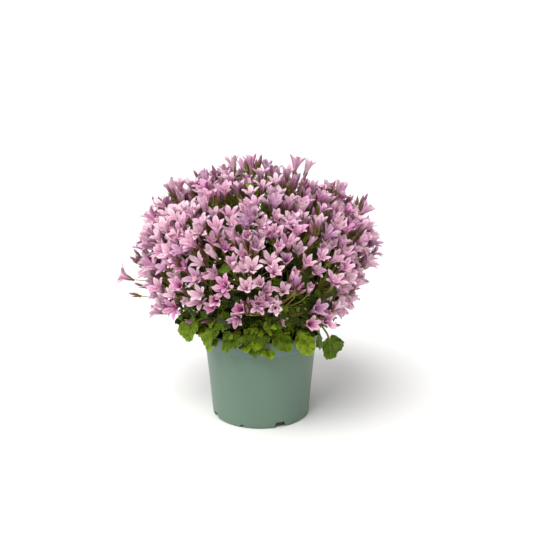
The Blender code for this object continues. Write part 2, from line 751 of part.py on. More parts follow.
def clear_core(stem, stems, taken, own, rng):
    # As wide as its part of the dome allows, and narrower until it is clear of its neighbours.
    sides = side_directions(stem["axis"], CORE_SIDES, rng.uniform(0, math.tau))
    points = [(depth + rng.uniform(-CORE_WANDER, CORE_WANDER), spread)
              for depth, spread in CORE_RING * (CORE_SIDES // 2)]
    for fit in CORE_FITS:
        bm = bmesh.new()
        ring = []
        for side, (depth, spread) in zip(sides, points):
            angle = cell_angle(stem, stems, side) * fit * spread
            direction = stem["axis"] * math.cos(angle) + side * math.sin(angle)
            point = CROWN + direction * (stem["distance"] - depth)
            ring.append(bm.verts.new(point))
        low = bm.verts.new(out_along(stem, stem["distance"] * CORE_START))
        high = bm.verts.new(out_along(stem, stem["distance"] - CORE_TOP_DEPTH))
        for one, two in zip(ring, ring[1:] + ring[:1]):
            bm.faces.new((one, two, high))
            bm.faces.new((two, one, low))
        bmesh.ops.recalc_face_normals(bm, faces=bm.faces)
        if not crosses(bm, taken, {own}):
            return bm
        bm.free()
    return None


def clear_bloom(shape, bloom, path, taken, own, rng, starts):
    # Turned, moved along its axis, shrunk or rooted lower on its stem until it is clear of its neighbours.
    first = rng.uniform(0, math.tau)
    for scale in BLOOM_SHRINKS:
        for slip in BLOOM_SLIPS:
            base = bloom["mouth"] + bloom["facing"] * (slip - TUBE_LENGTH * scale)
            for start in starts:
                for step in range(BLOOM_TWISTS):
                    twist = first + step * math.tau / 5 / BLOOM_TWISTS
                    bm = placed(shape, stand_on(base, bloom["facing"], twist, scale))
                    head = tree_of(bm)
                    if crosses(bm, taken, {own}):
                        bm.free()
                        continue
                    add_stalk(bm, base, along_path(path, start))
                    if not crosses(bm, taken, {own, f"{own} core"}):
                        taken += [(f"{own} head", head), (own, tree_of(bm))]
                        return bm
                    bm.free()
    return None


def clear_leaf(shape, stem, stems, core, taken, own, rng):
    # A blade that stands out of the core's surface, tried all round it until it is clear.
    for side in side_directions(stem["axis"], STEM_LEAF_TRIES, rng.uniform(0, math.tau)):
        angle = cell_angle(stem, stems, side) * rng.uniform(0.3, 0.6)
        direction = stem["axis"] * math.cos(angle) + side * math.sin(angle)
        surface = core.ray_cast(CROWN + direction * stem["distance"], -direction)[0]
        if surface is None:
            continue
        outward = (direction + side * STEM_LEAF_LEAN).normalized()
        origin = surface - direction * STEM_LEAF_SINK + outward * STEM_LEAF_FOOT * STEM_LEAF_LENGTH
        bm = placed(shape, turn_to(origin, outward, UP + direction * rng.uniform(-0.4, 0.4)))
        if not crosses(bm, taken, {f"{own} core"}):
            return bm
        bm.free()
    return None


def make_sprays(stems, shapes, material, taken):
    rng = random.Random(STEM_SEED)
    sprays = []
    for index, stem in enumerate(stems):
        own = f"spray_{index:02d}"
        path = stem_path(stem)
        trunk = tube(path, ramp(STEM_RADIUS, STEM_FORK_RADIUS, len(path)), STEM_SIDES)
        taken.append((own, tree_of(trunk)))
        sprays.append((own, stem, path, [trunk]))
    cores = {}
    for own, stem, path, parts in sprays:
        core = clear_core(stem, stems, taken, own, rng)
        if core is None:
            print("no room for the core of", own)
            continue
        cores[own] = tree_of(core)
        taken.append((f"{own} core", cores[own]))
        parts.append(core)
    for own, stem, path, parts in sprays:
        for index, bloom in enumerate(stem["blooms"]):
            starts = STALK_STARTS[index % len(STALK_STARTS):] + STALK_STARTS[:index % len(STALK_STARTS)]
            bm = clear_bloom(shapes[bloom["stage"]], bloom, path, taken, own, rng, starts)
            if bm is None:
                print("no room for a bloom on", own)
                continue
            parts.append(bm)
    for own, stem, path, parts in sprays:
        wanted = next((count for below, count in STEM_LEAVES_BELOW if stem["anchor"].z < below), 0)
        for _ in range(wanted if own in cores else 0):
            bm = clear_leaf(shapes["leaf"], stem, stems, cores[own], taken, own, rng)
            if bm is None:
                print("no room for a leaf on", own)
                continue
            taken.append((f"{own} leaf", tree_of(bm)))
            parts.append(bm)
    for own, stem, path, parts in sprays:
        others = [object_from(bm, "piece", material) for bm in parts[1:]]
        spray = object_from(parts[0], own, material)
        combine(spray, others, "UNION")


def main():
    clear_scene()
    plastic = make_material("pot_green_plastic", (0.17, 0.27, 0.21), 0.45)
    compost = make_material("compost", (0.030, 0.021, 0.015), 0.95)
    leaf_green = make_material("leaf_green", (0.10, 0.22, 0.03), 0.6)
    petal_pink = make_material("petal_pink", (0.66, 0.36, 0.58), 0.6)
    make_pot(plastic)
    taken = []
    feet = []
    for index, spec in enumerate(RIM_LEAVES):
        foot = make_rim_leaf(index, spec, leaf_green, taken)
        feet += [(foot, PETIOLE_HOLE_RADIUS, 4)] if foot else []
    blooms = bloom_layout()
    stems = stem_layout(blooms)
    print(len(blooms), "blooms on", len(stems), "stems")
    shapes = {
        "open": shape_mesh(bloom_shape(OPEN_PETAL), "open_bloom"),
        "half_open": shape_mesh(bloom_shape(HALF_OPEN_PETAL), "half_open_bloom"),
        "bud": shape_mesh(bud_shape(), "bud"),
        "leaf": shape_mesh(lens_blade(STEM_LEAF_LENGTH, STEM_LEAF_TEETH), "stem_leaf"),
    }
    make_sprays(stems, shapes, petal_pink, taken)
    feet += [(stem["foot"], STEM_RADIUS + HOLE_GAP, STEM_SIDES) for stem in stems]
    make_soil(feet, compost)


main()
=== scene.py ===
import json
import math
import random

import bmesh
import bpy
from mathutils import Matrix, Vector, noise

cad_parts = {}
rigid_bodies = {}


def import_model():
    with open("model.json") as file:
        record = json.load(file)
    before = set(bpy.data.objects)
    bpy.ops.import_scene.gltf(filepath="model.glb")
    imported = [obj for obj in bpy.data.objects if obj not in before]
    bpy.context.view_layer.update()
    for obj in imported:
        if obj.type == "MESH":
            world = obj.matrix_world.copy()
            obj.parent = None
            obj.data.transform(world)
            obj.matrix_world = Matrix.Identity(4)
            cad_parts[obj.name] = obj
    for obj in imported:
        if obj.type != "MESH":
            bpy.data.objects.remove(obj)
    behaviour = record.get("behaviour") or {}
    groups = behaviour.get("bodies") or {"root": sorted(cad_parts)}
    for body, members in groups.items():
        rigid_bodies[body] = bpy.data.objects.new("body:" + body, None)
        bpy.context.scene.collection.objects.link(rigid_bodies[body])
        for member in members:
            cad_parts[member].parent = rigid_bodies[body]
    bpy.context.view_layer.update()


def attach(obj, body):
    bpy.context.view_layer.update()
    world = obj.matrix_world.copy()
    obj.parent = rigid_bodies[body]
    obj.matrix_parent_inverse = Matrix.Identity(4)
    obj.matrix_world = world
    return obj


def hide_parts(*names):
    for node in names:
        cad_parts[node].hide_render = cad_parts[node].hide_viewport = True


# A bellflower in bloom in its 12 cm nursery pot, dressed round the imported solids.
# The frame is in metres, +Z up, with the front towards -Y. Sizes in the dictionaries are in mm.

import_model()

mm = 0.001
up = Vector((0, 0, 1))
goldenAngle = math.pi * (3 - math.sqrt(5))
scene = bpy.context.scene
scene.view_settings.view_transform = "Standard"


# Camera, light and floor

cameraSpec = {"distance": 913, "height": 391.7, "pitch": 15.05, "yaw": 1.07, "lens": 60, "sensor": 36}
lightSpec = {
    "horizon": 1.0, "overhead": (1.12, 0.14),  # the white band low down, then left and right above it
    "bandTop": (0.07, 0.22),
    "key": (2.5, 38, (-0.47, -1.08, 1.7)),  # strength, breadth in degrees, and where it stands
    "side": (0.35, 50, (-1.3, -0.1, 0.7)),
    "floorSize": 60,
}


def hexColour(text):
    # sRGB hex to linear
    values = [int(text[i:i + 2], 16) / 255 for i in (0, 2, 4)]
    linear = [v / 12.92 if v <= 0.04045 else ((v + 0.055) / 1.055) ** 2.4 for v in values]
    return (*linear, 1)


def addNode(tree, kind, settings=None, inputs=()):
    # A node with its settings, and its inputs set or linked by name, or else in their order on the node.
    # "stops" are a ramp's places and colours. It gives back the node's outputs
    node = tree.nodes.new("ShaderNode" + kind)
    for name, value in (settings or {}).items():
        if name == "stops":
            elements = node.color_ramp.elements
            for place, colour in value[1:-1]:
                elements.new(place)
            for element, (place, colour) in zip(elements, sorted(value)):
                element.position = place
                element.color = hexColour(colour)
        else:
            setattr(node, name, value)
    for name, value in inputs.items() if isinstance(inputs, dict) else enumerate(inputs):
        if isinstance(value, bpy.types.NodeSocket):
            tree.links.new(value, node.inputs[name])
        else:
            node.inputs[name].default_value = value
    return node.outputs


def newMaterial(name, roughness, ior=1.45, specular=0.5):
    material = bpy.data.materials.new(name)
    material.use_nodes = True
    shader = material.node_tree.nodes["Principled BSDF"]
    shader.inputs["Roughness"].default_value = roughness
    shader.inputs["IOR"].default_value = ior
    shader.inputs["Specular IOR Level"].default_value = specular
    return material, material.node_tree, shader


def setCamera():
    data = bpy.data.cameras.new("photoCamera")
    data.sensor_width = cameraSpec["sensor"]
    data.lens = cameraSpec["lens"]
    camera = bpy.data.objects.new("photoCamera", data)
    camera.location = Vector((0, -cameraSpec["distance"], cameraSpec["height"])) * mm
    camera.rotation_euler = (math.radians(90 - cameraSpec["pitch"]), 0, -math.radians(cameraSpec["yaw"]))
    scene.collection.objects.link(camera)
    scene.camera = camera


def setLights():
    world = bpy.data.worlds.new("studio")
    world.use_nodes = True
    tree = world.node_tree
    background = tree.nodes["Background"]
    background.inputs["Color"].default_value = (1, 1, 1, 1)
    # White low down all round, like a studio's paper sweep, and darker to the right above it
    way = addNode(tree, "TexCoord")["Generated"]
    across, _, height = addNode(tree, "SeparateXYZ", None, (way,))
    above = addNode(tree, "MapRange", None, (across, -1, 1, *lightSpec["overhead"]))[0]
    share = addNode(tree, "MapRange", {"interpolation_type": "SMOOTHSTEP"},
                    (height, *lightSpec["bandTop"]))[0]
    strength = addNode(tree, "Mix", None, {"Factor": share, "A": lightSpec["horizon"], "B": above})[0]
    tree.links.new(strength, background.inputs["Strength"])
    scene.world = world
    for name in ("key", "side"):
        strength, breadth, place = lightSpec[name]
        data = bpy.data.lights.new(name + "Softbox", "SUN")
        data.energy = strength
        data.angle = math.radians(breadth)
        lamp = bpy.data.objects.new(name + "Softbox", data)
        lamp.rotation_euler = (-Vector(place)).to_track_quat("-Z", "Y").to_euler()
        scene.collection.objects.link(lamp)


def makeFloor():
    material, _, shader = newMaterial("matteWhitePaper", 0.9, specular=0.1)
    shader.inputs["Base Color"].default_value = hexColour("F6F6F4")
    bm = bmesh.new()
    bmesh.ops.create_grid(bm, x_segments=1, y_segments=1, size=lightSpec["floorSize"] / 2)
    floor = newObject(bm, "floor", [material])


def newObject(bm, name, materials, smooth=False):
    mesh = bpy.data.meshes.new(name)
    bm.to_mesh(mesh)
    bm.free()
    if smooth:
        mesh.shade_smooth()
    for material in materials:
        mesh.materials.append(material)
    obj = bpy.data.objects.new(name, mesh)
    scene.collection.objects.link(obj)
    return obj


def anyWay(rng, size=1):
    # A vector whose three parts are each drawn between -size and size
    return Vector([rng.uniform(-size, size) for _ in range(3)])


def clamped(value):
    return min(max(value, 0.0), 1.0)


# Where the solids' blooms and stems stand: the same rules, values and random draws as their source

domeSpec = {
    "radius": 114, "middle": 181, "rise": 74, "drop": 80, "topPower": 1.9, "underPower": 3.6,
    "steps": 160, "end": 0.97,  # its curve ends so far round from the top, as a share of a half turn
    "lowestBloom": 116, "frontLift": 28, "frontPower": 1.5, "swell": 9, "swellSize": 42,
    "tuckLow": (14, 170, 125), "tuckHigh": (16, 200, 240),  # by how much, from and to which height
    "barePatch": (30, -96, 143), "bareRadius": 20,
}
bloomPlaces = {
    "count": 166, "wander": 1.8, "depths": (0.0, -6.5, 1.5), "leanUp": 0.8, "tilt": 0.3, "seed": 11,
    "halfOpenShare": 0.28, "tube": 10,
    "strayBlooms": ((-140, -6, 150), (-110, 0, 211), (-88, 6, 238), (-54, 4, 247), (-28, 20, 263),
                    (-9, 24, 262), (7, 18, 259), (37, 20, 261), (49, 26, 257), (81, 8, 239), (107, -4, 218),
                    (117, -8, 175), (47, -90, 124), (62, -86, 126), (-107, -4, 111)),
    "strayBuds": ((-126, -11, 143), (-132, -12, 133), (-96, 0, 224), (-42, 18, 252), (17, 22, 254),
                  (90, -10, 214), (74, -77, 119)),
}
stemPlaces = {
    "count": 35, "seed": 5, "spread": 42, "foot": 72, "neck": 92, "coreStart": 0.4, "forkDepth": 36,
    "crown": (0, 0, 105), "lowestLean": 42, "neckPull": 0.4, "entryPull": 0.35, "steps": 5,
}


def domeMeridian():
    # Points (radius, height) down the dome in metres, with the area of surface above each
    spec = domeSpec
    points = []
    for step in range(spec["steps"] + 1):
        angle = math.pi * spec["end"] * step / spec["steps"]
        upper = angle < math.pi / 2
        power = 2 / (spec["topPower"] if upper else spec["underPower"])
        reach = spec["rise"] if upper else -spec["drop"]
        points.append((spec["radius"] * mm * math.sin(angle) ** power,
                       spec["middle"] * mm + reach * mm * abs(math.cos(angle)) ** power))
    areas = [0.0]
    for (r0, z0), (r1, z1) in zip(points, points[1:]):
        areas.append(areas[-1] + math.pi * (r0 + r1) * math.hypot(r1 - r0, z1 - z0))
    return points, areas


def onMeridian(points, areas, share):
    wanted = share * areas[-1]
    index = next(i for i, area in enumerate(areas) if area >= wanted or i == len(areas) - 1)
    index = max(index, 1)
    t = (wanted - areas[index - 1]) / (areas[index] - areas[index - 1])
    (r0, z0), (r1, z1) = points[index - 1], points[index]
    outward = Vector((z0 - z1, 0, r1 - r0)).normalized()
    return r0 + (r1 - r0) * t, z0 + (z1 - z0) * t, outward


def spiralOnDome(count, wander, seed):
    rng = random.Random(seed)
    meridian, areas = domeMeridian()
    found = []
    for index in range(count):
        radius, height, outward = onMeridian(meridian, areas, (index + 0.5) / count)
        turn = Matrix.Rotation(index * goldenAngle, 3, "Z")
        slip = anyWay(rng, wander)
        point, outward = turn @ Vector((radius, 0, height)), turn @ outward
        # The plant is uneven, and its right side draws in below the middle and at the shoulder
        point += outward * domeSpec["swell"] * mm * noise.noise(point / (domeSpec["swellSize"] * mm))
        for tuck, first, last in (domeSpec["tuckLow"], domeSpec["tuckHigh"]):
            share = clamped((point.z / mm - first) / (last - first))
            point.x -= tuck * mm * share * max(0.0, point.x) / (domeSpec["radius"] * mm)
        found.append((point + slip, outward))
    return found


def bloomGrowsAt(point, slack=0.0):
    # Blooms hang lower at the sides and back than at the front, where one patch shows only leaves
    frontness = max(0.0, -point.y / max(math.hypot(point.x, point.y), 1e-9))
    lowest = domeSpec["lowestBloom"] + domeSpec["frontLift"] * frontness ** domeSpec["frontPower"]
    clear = (point - Vector(domeSpec["barePatch"]) * mm).length > domeSpec["bareRadius"] * mm
    return clear and point.z >= (lowest - slack) * mm


def solidBlooms():
    # Each bloom of the solids: the middle of its mouth, the way it faces and how far it has opened
    spec = bloomPlaces
    rng = random.Random(spec["seed"])
    blooms = []
    places = spiralOnDome(spec["count"], spec["wander"] * mm, spec["seed"])
    for index, (point, outward) in enumerate(places):
        depth = spec["depths"][index % len(spec["depths"])] * mm
        tilt = anyWay(rng, spec["tilt"])
        halfOpen = rng.random() < spec["halfOpenShare"]
        if not bloomGrowsAt(point):
            continue
        facing = (outward + up * spec["leanUp"] + tilt).normalized()
        stage = "halfOpen" if halfOpen else "open"
        blooms.append({"mouth": point + outward * depth, "facing": facing, "stage": stage})
    for stage, strays in (("open", spec["strayBlooms"]), ("bud", spec["strayBuds"])):
        for stray in strays:
            point = Vector(stray) * mm
            lift = up * domeSpec["radius"] * mm * spec["leanUp"]
            facing = (point - Vector((0, 0, domeSpec["middle"] * mm)) + lift).normalized()
            blooms.append({"mouth": point, "facing": facing, "stage": stage, "stray": True})
    return blooms


def stemLayout(blooms):
    # Stems share the blooms out by nearness; a stem with none is left out
    spec = stemPlaces
    anchors = [point for point, _ in spiralOnDome(spec["count"], 0, spec["seed"])]
    stems = []
    for index, anchor in enumerate(anchors):
        start = spec["spread"] * mm * math.sqrt((index + 0.5) / len(anchors))
        azimuth = math.atan2(anchor.y, anchor.x)
        foot = Vector((start * math.cos(azimuth), start * math.sin(azimuth), spec["foot"] * mm))
        stems.append({"anchor": anchor, "foot": foot, "blooms": [], "leaves": []})
    for bloom in blooms:
        nearestStem(stems, bloom["mouth"])["blooms"].append(bloom)
    stems = [stem for stem in stems if stem["blooms"]]
    crown = Vector(spec["crown"]) * mm
    for stem in stems:
        away = stem["anchor"] - crown
        away.z = max(away.z, spec["lowestLean"] * mm)
        stem["distance"] = away.length
        stem["axis"] = away.normalized()
    return stems


def nearestStem(stems, point):
    return min(stems, key=lambda stem: (stem["anchor"] - point).length)


def bezier(a, b, c, d, steps):
    points = []
    for step in range(steps + 1):
        t = step / steps
        s = 1 - t
        points.append(a * s**3 + b * 3 * s * s * t + c * 3 * s * t * t + d * t**3)
    return points


def stemPath(stem):
    # Straight up out of its hole, over to its own part of the dome, then straight out
    spec = stemPlaces
    crown = Vector(spec["crown"]) * mm
    foot = stem["foot"]
    neck = Vector((foot.x, foot.y, spec["neck"] * mm))
    entry = crown + stem["axis"] * stem["distance"] * spec["coreStart"]
    reach = (entry - neck).length
    curve = bezier(neck, neck + up * reach * spec["neckPull"],
                   entry - stem["axis"] * reach * spec["entryPull"], entry, spec["steps"])
    tip = crown + stem["axis"] * (stem["distance"] - spec["forkDepth"] * mm)
    return [foot] + curve + [entry.lerp(tip, 0.5), tip]


# Shared shapes

def emptyPiece():
    bm = bmesh.new()
    bm.loops.layers.uv.new("surfaceMap")
    bm.faces.layers.float.new("tone")
    bm.faces.layers.float.new("outside")
    return bm


def gridSheet(across, along):
    # A flat grid whose UV runs from 0 to 1 across it and along it
    bm = emptyPiece()
    bmesh.ops.create_grid(bm, x_segments=across, y_segments=along, size=0.5)
    uv = bm.loops.layers.uv["surfaceMap"]
    for face in bm.faces:
        for loop in face.loops:
            loop[uv].uv = (loop.vert.co.x + 0.5, loop.vert.co.y + 0.5)
    return bm


def rowOf(vert, rows):
    # The row of a shape that a vertex of its flat grid belongs to, and where across it stands, from -1 to 1
    return rows[round((vert.co.y + 0.5) * (len(rows) - 1))], vert.co.x * 2


def addBack(bm, thickness):
    # A second skin under the sheet, joined to it round its edge, so that it closes
    outside = bm.faces.layers.float["outside"]
    bmesh.ops.remove_doubles(bm, verts=bm.verts, dist=1e-6)
    bm.normal_update()
    rim = {vert for edge in bm.edges if edge.is_boundary for vert in edge.verts}
    inner = [vert for vert in bm.verts if vert not in rim]
    shifts = [(vert, vert.normal * thickness) for vert in inner]
    made = bmesh.ops.duplicate(bm, geom=bm.faces[:])
    copies = made["vert_map"]
    faces = [item for item in made["geom"] if isinstance(item, bmesh.types.BMFace)]
    for vert, shift in shifts:
        copies[vert].co -= shift
    for face in faces:
        face[outside] = 1
    bmesh.ops.reverse_faces(bm, faces=faces)
    bmesh.ops.remove_doubles(bm, verts=list(rim) + [copies[vert] for vert in rim], dist=1e-6)
    for edge in bm.edges:
        sides = {face[outside] for face in edge.link_faces}
        edge.smooth = len(sides) == 1
    for face in bm.faces:
        face.smooth = True


def shapeMesh(bm, name, size=1):
    bmesh.ops.scale(bm, vec=(size, size, size), verts=bm.verts)
    for face in bm.faces:
        face.smooth = True
    mesh = bpy.data.meshes.new(name)
    bm.to_mesh(mesh)
    bm.free()
    return mesh


def addShape(bm, shape, matrix, tone, materialIndex=0):
    # A copy of a ready shape joins the piece, in its place and with its own tone and material
    mesh = shape.copy()
    mesh.transform(matrix)
    count = len(mesh.polygons)
    mesh.attributes["tone"].data.foreach_set("value", [tone] * count)
    mesh.polygons.foreach_set("material_index", [materialIndex] * count)
    bm.from_mesh(mesh)
    bpy.data.meshes.remove(mesh)


def frameAt(point, along, side, radius):
    along = along.normalized()
    side = (side - along * side.dot(along)).normalized()
    turn = Matrix((side, along.cross(side), along)).transposed().to_4x4()
    return Matrix.Translation(point) @ turn @ Matrix.Diagonal((radius, radius, 1, 1))


def drawOut(bm, edges):
    # A second ring of vertices and edges, drawn out of a ring of edges and still in the same place
    grown = bmesh.ops.extrude_edge_only(bm, edges=edges)["geom"]
    ring = {item for item in grown if isinstance(item, bmesh.types.BMVert)}
    drawn = [item for item in grown if isinstance(item, bmesh.types.BMEdge) and set(item.verts) <= ring]
    return ring, drawn


def taper(first, last, count):
    # Radii of a tube from its one end to its other
    return [(first + (last - first) * index / (count - 1)) * mm for index in range(count)]


def addTube(piece, points, radii, sides, tone, materialIndex=0):
    # A ring drawn out from point to point, with its frame carried along without twist
    tangents = [(b - a).normalized() for a, b in zip(points, points[1:])]
    bends = [tangents[0]] + [(a + b).normalized() for a, b in zip(tangents, tangents[1:])] + [tangents[-1]]
    side = Vector((1, 0, 0)) if abs(bends[0].x) < 0.9 else Vector((0, 1, 0))
    frames = []
    for point, along, radius in zip(points, bends, radii):
        frames.append(frameAt(point, along, side, radius))
        side = frames[-1].to_3x3().col[0].normalized()
    bm = emptyPiece()
    bmesh.ops.create_circle(bm, cap_ends=True, segments=sides, radius=1, matrix=frames[0])
    edges = list(bm.edges)
    for before, after in zip(frames, frames[1:]):
        ring, edges = drawOut(bm, edges)
        bmesh.ops.transform(bm, matrix=after @ before.inverted(), verts=list(ring))
    bmesh.ops.contextual_create(bm, geom=edges)
    bmesh.ops.recalc_face_normals(bm, faces=bm.faces)
    mesh = shapeMesh(bm, "tube")
    addShape(piece, mesh, Matrix(), tone, materialIndex)
    bpy.data.meshes.remove(mesh)


def standOn(origin, facing, twist, scale):
    # A shape that grows along +Z, set at the origin and turned about its own axis
    turn = facing.to_track_quat("Z", "X").to_matrix().to_4x4()
    return Matrix.Translation(origin) @ turn @ Matrix.Rotation(twist, 4, "Z") @ Matrix.Diagonal((*scale, 1))


def turnTo(origin, xAxis, zHint, scale=1.0):
    # A shape that grows along +X, set at the origin with its face towards the hint
    xAxis = xAxis.normalized()
    yAxis = zHint.cross(xAxis).normalized()
    zAxis = xAxis.cross(yAxis)
    turn = Matrix((xAxis, yAxis, zAxis)).transposed().to_4x4()
    return Matrix.Translation(origin) @ turn @ Matrix.Scale(scale, 4)


# Blooms

bloomSpec = {
    "tube": ((0.0, 1.1, 0.0), (0.2, 1.6, 3.4), (0.36, 2.6, 6.6)),  # v, radius, height
    "width": (0.8, 0.2),  # of the tube when closed, and how much more when open
    # A ring's rows are (share of the length, half width), and its leans are in degrees from the axis, when
    # closed and how many more when open. From the free share of its length up it is ruffled fully
    "outer": {"length": 11.8, "rows": ((0.14, 1.85), (0.4, 2.7), (0.66, 2.8), (0.87, 1.65), (1.0, 0.0)),
              "leanAtFoot": (10, 22), "leanAtTip": (2, 70), "free": 0.8, "turn": 0},
    # A second ring of shorter petals inside some of the blooms
    "inner": {"length": 9.4, "rows": ((0.0, 1.1), (0.4, 2.15), (0.78, 1.6), (1.0, 0.0)),
              "leanAtFoot": (6, 14), "leanAtTip": (2, 46), "free": 1.0, "turn": 36},
    "innerFoot": (0.5, 1.3, 5.8), "innerSeed": 0.37, "doubleShare": 0.4,  # v, radius, height
    "cup": 0.38, "thickness": 0.3, "wander": 2.8, "crumple": 1.2, "creases": 0.55,
    "openness": (0.12, 0.3, 0.45, 0.55, 0.66, 0.77, 0.88, 1.0), "versions": 3, "variety": 1.9,
    "noiseSeed": 7,
}
budSpec = {
    "rows": ((0.0, 0.9, 0.0), (0.25, 1.3, 3.6), (0.55, 1.75, 8.0), (0.8, 1.25, 11.8), (1.0, 0.0, 14.6)),
    "pleat": 0.3, "twist": 40,
}
calyxSpec = {
    "rows": ((0.0, 1.0, -0.5, 0.75), (0.4, 2.0, 2.0, 0.8), (0.75, 3.0, 5.2, 0.5), (1.0, 3.7, 7.6, 0.0)),
    "fold": 0.25, "thickness": 0.3, "ovaryRadius": 1.6, "ovaryHeight": 3.0, "ovaryDrop": 0.35,
}
styleSpec = {"foot": 2, "length": 12.0, "radius": 0.33, "lobe": 1.2, "lobeRise": 0.5, "lobeStart": 0.3}


def spunInFive(bm):
    geometry = list(bm.verts) + list(bm.edges) + list(bm.faces)
    bmesh.ops.spin(bm, geom=geometry, cent=(0, 0, 0), axis=(0, 0, 1), angle=math.tau * 4 / 5,
                   steps=4, use_duplicate=True)
    bmesh.ops.remove_doubles(bm, verts=bm.verts, dist=1e-6)


def risingRows(start, shares, length, first, last):
    # (share, distance from the axis, height, half width, lean) up the middle of one petal
    radius, height = start
    rows = []
    before = 0
    for share, half in shares:
        lean = math.radians(first + (last - first) * ((share + before) / 2) ** 0.8)
        step = (share - before) * length
        radius += step * math.sin(lean)
        height += step * math.cos(lean)
        rows.append((share, radius, height, half, lean))
        before = share
    return rows


def petalRing(rows, foot):
    # One fifth of a ring of petals, shaped from a flat grid and spun into five. A row with no width is tube
    bm = gridSheet(2, len(rows) - 1)
    uv = bm.loops.layers.uv["surfaceMap"]
    for vert in bm.verts:
        (share, radius, height, half, lean), side = rowOf(vert, rows)
        for loop in vert.link_loops:
            loop[uv].uv = (side / 2 + 0.5, share if half is None else foot + (1 - foot) * share)
        if half is None:
            angle = side * math.pi / 5
            vert.co = (radius * math.cos(angle), radius * math.sin(angle), height)
        else:
            lift = bloomSpec["cup"] * half * abs(side)
            vert.co = (radius - lift * math.cos(lean), side * half, height + lift * math.sin(lean))
    bmesh.ops.remove_doubles(bm, verts=bm.verts, dist=1e-6)
    spunInFive(bm)
    return bm


def ruffle(bm, start, length, seed):
    # Each petal leans its own way, and its surface is a little crumpled. The factors of the seed and of the
    # petal's number only set the shapes and their petals apart in the noise
    for vert in bm.verts:
        free = max(0.0, vert.co.z - start) / length
        petal = round(math.atan2(vert.co.y, vert.co.x) / (math.tau / 5))
        wander = noise.noise_vector(Vector((petal * 3.7, seed * 9.1, seed * 5.3)))
        crease = noise.noise_vector(vert.co * bloomSpec["creases"] + Vector((seed * 7.7, 0, 0)))
        vert.co += (wander * bloomSpec["wander"] + crease * bloomSpec["crumple"]) * min(free, 1.0)


def turnOutside(bm):
    # The skin that shows its back below the throat is the outer one
    bmesh.ops.recalc_face_normals(bm, faces=bm.faces)
    bm.normal_update()
    lowest = min(bm.faces, key=lambda face: face.calc_center_median().z)
    away = lowest.calc_center_median()
    away.z = 0
    if lowest.normal.dot(away) > 0:
        bmesh.ops.reverse_faces(bm, faces=bm.faces)


def petalSkins(spec, tube, foot, openness, seed):
    # A ring of petals with its inner and outer skin, on a tube or alone
    v, radius, height = foot
    first, last = (low + more * openness for low, more in (spec["leanAtFoot"], spec["leanAtTip"]))
    bm = petalRing(tube + risingRows((radius, height), spec["rows"], spec["length"], first, last), v)
    bmesh.ops.rotate(bm, verts=bm.verts, matrix=Matrix.Rotation(math.radians(spec["turn"]), 3, "Z"))
    ruffle(bm, height, spec["length"] * spec["free"], seed)
    turnOutside(bm)
    addBack(bm, bloomSpec["thickness"])
    return bm


def bloomShape(openness, seed, double):
    spec = bloomSpec
    closed, more = spec["width"]
    narrow = closed + more * openness
    tube = [(v, radius * (narrow if index else 1), height, None, 0)
            for index, (v, radius, height) in enumerate(spec["tube"])]
    bm = petalSkins(spec["outer"], tube, tube[-1][:3], openness, seed)
    if double:
        v, radius, height = spec["innerFoot"]
        foot = (v, radius * narrow, height)
        ring = petalSkins(spec["inner"], [], foot, openness, seed + spec["innerSeed"])
        inner = shapeMesh(ring, "innerPetals")
        bm.from_mesh(inner)
        bpy.data.meshes.remove(inner)
    return shapeMesh(bm, "bloomShape", mm)


def budShape():
    # Five pleats with a slight twist, drawn to a point
    rows = budSpec["rows"]
    bm = gridSheet(2, len(rows) - 1)
    uv = bm.loops.layers.uv["surfaceMap"]
    for vert in bm.verts:
        (v, radius, height), side = rowOf(vert, rows)
        for loop in vert.link_loops:
            loop[uv].uv = (side / 2 + 0.5, v)
        angle = side * math.pi / 5 + math.radians(budSpec["twist"]) * v
        radius *= 1 - budSpec["pleat"] * abs(side) ** 2
        vert.co = (radius * math.cos(angle), radius * math.sin(angle), height)
    spunInFive(bm)
    outside = bm.faces.layers.float["outside"]
    for face in bm.faces:
        face[outside] = 2  # a bud is darker than an open bloom's outside
    bmesh.ops.holes_fill(bm, edges=[edge for edge in bm.edges if edge.is_boundary])
    bmesh.ops.recalc_face_normals(bm, faces=bm.faces)
    return shapeMesh(bm, "budShape", mm)


def calyxShape():
    # Five narrow sepals on a small ribbed seed case
    spec = calyxSpec
    bm = gridSheet(2, len(spec["rows"]) - 1)
    for vert in bm.verts:
        (_, radius, height, half), side = rowOf(vert, spec["rows"])
        vert.co = (radius - spec["fold"] * half * abs(side), side * half, height)
    bmesh.ops.remove_doubles(bm, verts=bm.verts, dist=1e-6)
    addBack(bm, spec["thickness"])
    spunInFive(bm)
    drop = Matrix.Translation((0, 0, -spec["ovaryHeight"] * spec["ovaryDrop"]))
    size = Matrix.Diagonal((spec["ovaryRadius"], spec["ovaryRadius"], spec["ovaryHeight"] / 2, 1))
    bmesh.ops.create_uvsphere(bm, u_segments=6, v_segments=4, radius=1, matrix=drop @ size)
    return shapeMesh(bm, "calyxShape", mm)


def styleShape():
    # The pale pistil: a thin rod that ends in three short lobes
    spec = styleSpec
    bm = emptyPiece()
    radius = spec["radius"]
    tip = Vector((0, 0, spec["length"]))
    addTube(bm, [Vector((0, 0, spec["foot"])), tip], [radius, radius], 3, 0)
    for index in range(3):
        lobe = Vector((spec["lobe"], 0, spec["lobe"] * spec["lobeRise"]))
        out = Matrix.Rotation(math.tau * index / 3, 3, "Z") @ lobe
        start = Vector((0, 0, spec["length"] - spec["lobeStart"]))
        addTube(bm, [start, tip + out], [radius, radius / 2], 3, 0)
    return shapeMesh(bm, "styleShape", mm)


# Leaves

